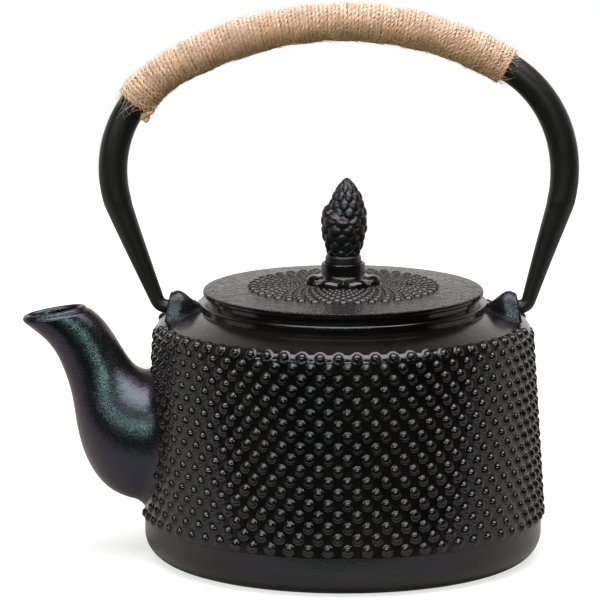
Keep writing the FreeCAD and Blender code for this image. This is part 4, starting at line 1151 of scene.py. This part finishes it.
def floor_material():
    """A pale floor that glows only where the camera sees it, up to white away from the pot's own shadow."""
    material, tree, shader = new_material("pale_floor")
    away = add_node(tree, "ShaderNodeVectorMath", {0: own_place(tree)}, operation="LENGTH").outputs["Value"]
    glow = ranged(tree, away, low=0.10, high=0.40, start=0.68, end=1.0, interpolation="SMOOTHSTEP")
    seen = add_node(tree, "ShaderNodeLightPath", {}).outputs["Is Camera Ray"]
    fill(tree, shader, {
        "Emission Strength": calculated(tree, "MULTIPLY", seen, glow),
        "Emission Color": (1, 1, 1, 1),
        "Base Color": (0.42, 0.42, 0.42, 1),
        "Roughness": 0.9,
        "Specular IOR Level": 0.0,
    })
    return material


def make_floor():
    """A level table top under the pot, which ends a hand's width in front of it."""
    half_width, front, back = 0.7, -0.14, 0.9
    corners = [(-half_width, front, 0), (half_width, front, 0), (half_width, back, 0), (-half_width, back, 0)]
    mesh = bpy.data.meshes.new("floor")
    mesh.from_pydata(corners, [], [(0, 1, 2, 3)])
    mesh.materials.append(floor_material())
    floor = bpy.data.objects.new("floor", mesh)
    bpy.context.scene.collection.objects.link(floor)


def make_world():
    """A room that is dark before and over the pot, warm white low behind it, and white to the camera."""
    warm_white, white = (1.0, 0.985, 0.94, 1), (1, 1, 1, 1)
    world = bpy.data.worlds.new("pale_room")
    bpy.context.scene.world = world
    world.use_nodes = True
    tree = world.node_tree
    way = split(tree, add_node(tree, "ShaderNodeTexCoord", {}).outputs["Generated"])
    back = ranged(tree, way["Y"], low=-0.22, high=0.85, start=0.02, end=0.98, interpolation="SMOOTHSTEP")
    above = ranged(tree, way["Z"], low=0.28, high=0.70, start=1.0, end=0.12, interpolation="SMOOTHSTEP")
    seen = add_node(tree, "ShaderNodeLightPath", {}).outputs["Is Camera Ray"]
    fill(tree, tree.nodes["Background"], {
        "Color": mixed(tree, seen, warm_white, white),
        "Strength": calculated(tree, "MAXIMUM", seen, calculated(tree, "MULTIPLY", back, above)),
    })


def make_camera():
    """A long lens two metres in front, aimed so that the pot lands where the photograph has it."""
    down, aside = math.radians(10.384), math.radians(0.477)
    lens = bpy.data.cameras.new("camera")
    lens.sensor_width = 36.0
    lens.lens = 316.9
    lens.clip_end = 50.0
    camera = bpy.data.objects.new("camera", lens)
    camera.location = (0.0, -2.0, 0.4662)
    camera.rotation_euler = (math.pi / 2 - down, 0.0, aside)
    bpy.context.scene.collection.objects.link(camera)
    bpy.context.scene.camera = camera


# Operators and panel

class TEAPOT_OT_casting(bpy.types.Operator):
    """Gives the pot's own casting its black iron and sets the hobnail studs on its wall"""

    bl_idname = "teapot.casting"
    bl_label = "Casting and hobnails"

    def execute(self, context):
        for node in POT_NODES:
            dress_node(node, iron_material("black_casting"))
        make_hobnails()
        make_mouth_bead()
        return {"FINISHED"}


class TEAPOT_OT_spout(bpy.types.Operator):
    """Builds the curved spout"""

    bl_idname = "teapot.spout"
    bl_label = "Spout"

    def execute(self, context):
        make_spout()
        return {"FINISHED"}


class TEAPOT_OT_ears(bpy.types.Operator):
    """Builds the two hoods that hold the bail"""

    bl_idname = "teapot.ears"
    bl_label = "Ears"

    def execute(self, context):
        make_ear("ear_hood_right", "right_ear", side=1.0)
        make_ear("ear_hood_left", "left_ear", side=-1.0)
        return {"FINISHED"}


class TEAPOT_OT_bail(bpy.types.Operator):
    """Builds the bail's bar"""

    bl_idname = "teapot.bail"
    bl_label = "Bail bar"

    def execute(self, context):
        make_bail()
        return {"FINISHED"}


class TEAPOT_OT_twine(bpy.types.Operator):
    """Winds the twine round the bail and adds its loose fibres"""

    bl_idname = "teapot.twine"
    bl_label = "Twine"

    def execute(self, context):
        make_twine()
        make_fibres()
        return {"FINISHED"}


class TEAPOT_OT_lid(bpy.types.Operator):
    """Gives the lid its iron and its rings of dots"""

    bl_idname = "teapot.lid"
    bl_label = "Lid"

    def execute(self, context):
        dress_node("lid", iron_material("black_lid_casting", smooth_below=LID_EDGE - 0.2 * MM))
        make_lid_dots()
        return {"FINISHED"}


class TEAPOT_OT_knob(bpy.types.Operator):
    """Builds the petal seat and the pine cone, and dresses the screw that holds them"""

    bl_idname = "teapot.knob"
    bl_label = "Knob"

    def execute(self, context):
        make_flower_seat()
        make_pine_cone()
        turned_steel = steel_material("turned_steel", stretch_by=(260, 260, 2400))
        dress_node("knob_screw", turned_steel)
        dress_node("knob_washer", turned_steel)
        return {"FINISHED"}


class TEAPOT_OT_infuser(bpy.types.Operator):
    """Builds the infuser's wire mesh and dresses its rim and base"""

    bl_idname = "teapot.infuser"
    bl_label = "Infuser"

    def execute(self, context):
        pressed_steel = steel_material("pressed_steel", stretch_by=(180, 180, 2600))
        dress_node("infuser_rim", pressed_steel)
        dress_node("infuser_base", pressed_steel)
        make_infuser_mesh()
        return {"FINISHED"}


class TEAPOT_OT_stage(bpy.types.Operator):
    """Sets the pale floor, the soft lamps and the camera"""

    bl_idname = "teapot.stage"
    bl_label = "Stage"

    def execute(self, context):
        context.scene.view_settings.view_transform = "Standard"
        make_floor()
        make_world()
        make_camera()
        for lamp in LAMPS:
            soft_lamp(*lamp)
        return {"FINISHED"}


OPERATORS = [
    TEAPOT_OT_casting, TEAPOT_OT_spout, TEAPOT_OT_ears, TEAPOT_OT_bail, TEAPOT_OT_twine, TEAPOT_OT_lid,
    TEAPOT_OT_knob, TEAPOT_OT_infuser, TEAPOT_OT_stage,
]


class TEAPOT_PT_panel(bpy.types.Panel):
    """Lists the teapot's pieces and sizes in the sidebar"""

    bl_idname = "TEAPOT_PT_panel"
    bl_label = "Teapot"
    bl_space_type = "VIEW_3D"
    bl_region_type = "UI"
    bl_category = "Teapot"

    def draw(self, context):
        for operator in OPERATORS:
            self.layout.operator(operator.bl_idname)
        for group in (context.scene.teapot_sizes, context.scene.teapot_finish):
            for name in group.__annotations__:
                self.layout.prop(group, name)


CLASSES = [TeapotSizes, TeapotFinish, *OPERATORS, TEAPOT_PT_panel]


def register():
    """Adds the classes, and the sizes and colours to the scene."""
    for cls in CLASSES:
        bpy.utils.register_class(cls)
    bpy.types.Scene.teapot_sizes = PointerProperty(type=TeapotSizes)
    bpy.types.Scene.teapot_finish = PointerProperty(type=TeapotFinish)


def unregister():
    """Takes away what register adds."""
    del bpy.types.Scene.teapot_finish
    del bpy.types.Scene.teapot_sizes
    for cls in reversed(CLASSES):
        bpy.utils.unregister_class(cls)


def main():
    """Builds every piece and the stage."""
    register()
    bpy.ops.teapot.casting()
    bpy.ops.teapot.spout()
    bpy.ops.teapot.ears()
    bpy.ops.teapot.bail()
    bpy.ops.teapot.twine()
    bpy.ops.teapot.lid()
    bpy.ops.teapot.knob()
    bpy.ops.teapot.infuser()
    bpy.ops.teapot.stage()


if __name__ == "__main__":
    main()
